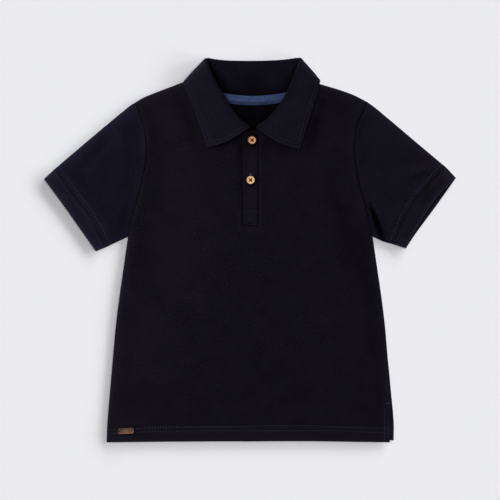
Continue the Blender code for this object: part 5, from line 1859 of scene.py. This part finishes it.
def aimed(light, direction):
    """Turns a light so that it shines from a direction."""
    light.rotation_mode = "QUATERNION"
    light.rotation_quaternion = direction.to_track_quat("Z", "Y")


def soft_sun(name, azimuth, elevation, size, strength, receivers):
    """A distant soft light for some pieces alone, as strong on level ground as a share of a white sky."""
    azimuth, elevation, size = map(math.radians, (azimuth, elevation, size))
    bpy.ops.object.light_add(type="SUN")
    sun = bpy.context.object
    sun.name = name
    sun.data.energy = strength * math.pi / math.sin(elevation)
    sun.data.angle = size
    aimed(sun, towards(azimuth, elevation))
    sun.light_linking.receiver_collection = receivers


class SHIRT_OT_studio(Operator):
    """Sets the pale floor, the soft light and the camera straight above the shirt."""
    bl_idname = "shirt.studio"
    bl_label = "Studio"

    def execute(self, context):
        studio = context.scene.shirt_studio
        deselect_all()
        bpy.ops.mesh.primitive_plane_add(size=FLOOR_SIDE, location=(0.0, 0.0, -FLOOR_DROP * MM))
        floor = context.object
        floor.name = "floor"
        apply_place()
        material, tree, shader = new_finish("floor_paper", 1.0, 0.0)
        base = np.array(studio.floor)
        colour = mixed(tree, noise_over(tree, own_place(tree), 3.0, 1.0), base * 0.998, base * 1.002)
        tree.links.new(colour, shader.inputs["Base Color"])
        floor.data.materials.append(material)
        on_floor = bpy.data.collections.new("floor_lights")
        on_floor.objects.link(floor)
        off_floor = bpy.data.collections.new("shirt_lights")
        off_floor.objects.link(floor)
        off_floor.collection_objects[0].light_linking.link_state = "EXCLUDE"
        for number, (azimuth, share) in enumerate(LOW_LIGHTS):
            soft_sun(f"low_light_{number}", azimuth, *LOW_LIGHT, share * studio.low_light, on_floor)
        soft_sun("high_light", *HIGH_LIGHT, studio.high_light, on_floor)
        soft_sun("dome", *DOME_LIGHT, studio.dome, off_floor)
        bpy.ops.object.light_add(type="AREA", location=KEY_PLACE)
        key = context.object
        key.name = "key"
        key.data.size = studio.key_side
        key.data.energy = studio.key_power
        aimed(key, Vector(KEY_PLACE))
        key.light_linking.receiver_collection = off_floor
        world = bpy.data.worlds.new("studio")
        world.use_nodes = True
        sky = world.node_tree.nodes["Background"].inputs
        sky["Color"].default_value = (1.0, 1.0, 1.0, 1.0)
        sky["Strength"].default_value = studio.fill
        context.scene.world = world
        height = CAMERA_VIEW * MM * CAMERA_LENS / CAMERA_SENSOR
        bpy.ops.object.camera_add(location=(CAMERA_PLACE[0] * MM, CAMERA_PLACE[1] * MM, height),
                                  rotation=(0.0, 0.0, 0.0))
        camera = context.object
        camera.data.lens = CAMERA_LENS
        camera.data.sensor_width = CAMERA_SENSOR
        context.scene.camera = camera
        context.scene.view_settings.view_transform = "Standard"
        return {"FINISHED"}


# ---------------------------------------------------------------- panel and registration

PIECES = (
    SHIRT_OT_back, SHIRT_OT_front, SHIRT_OT_sleeves, SHIRT_OT_collar, SHIRT_OT_plackets, SHIRT_OT_neck_tape,
    SHIRT_OT_sewing, SHIRT_OT_buttons, SHIRT_OT_hem_plate, SHIRT_OT_studio,
)
GROUPS = {
    "shirt_cloth": ShirtCloth,
    "shirt_sewing": ShirtSewing,
    "shirt_trims": ShirtTrims,
    "shirt_studio": ShirtStudio,
}


class SHIRT_PT_pieces(Panel):
    """Lists the shirt's settings and the pieces in the order that they are made."""
    bl_idname = "SHIRT_PT_pieces"
    bl_label = "Polo shirt"
    bl_space_type = "VIEW_3D"
    bl_region_type = "UI"
    bl_category = "Polo shirt"

    def draw(self, context):
        for name, group in GROUPS.items():
            box = self.layout.box()
            for key in group.__annotations__:
                box.prop(getattr(context.scene, name), key)
        for piece in PIECES:
            self.layout.operator(piece.bl_idname)


def register():
    for name, group in GROUPS.items():
        bpy.utils.register_class(group)
        setattr(bpy.types.Scene, name, PointerProperty(type=group))
    for each in (*PIECES, SHIRT_PT_pieces):
        bpy.utils.register_class(each)


def unregister():
    for each in (SHIRT_PT_pieces, *reversed(PIECES)):
        bpy.utils.unregister_class(each)
    for name, group in GROUPS.items():
        delattr(bpy.types.Scene, name)
        bpy.utils.unregister_class(group)


def main():
    register()
    for piece in PIECES:
        group, name = piece.bl_idname.split(".")
        getattr(getattr(bpy.ops, group), name)()


if __name__ == "__main__":
    main()
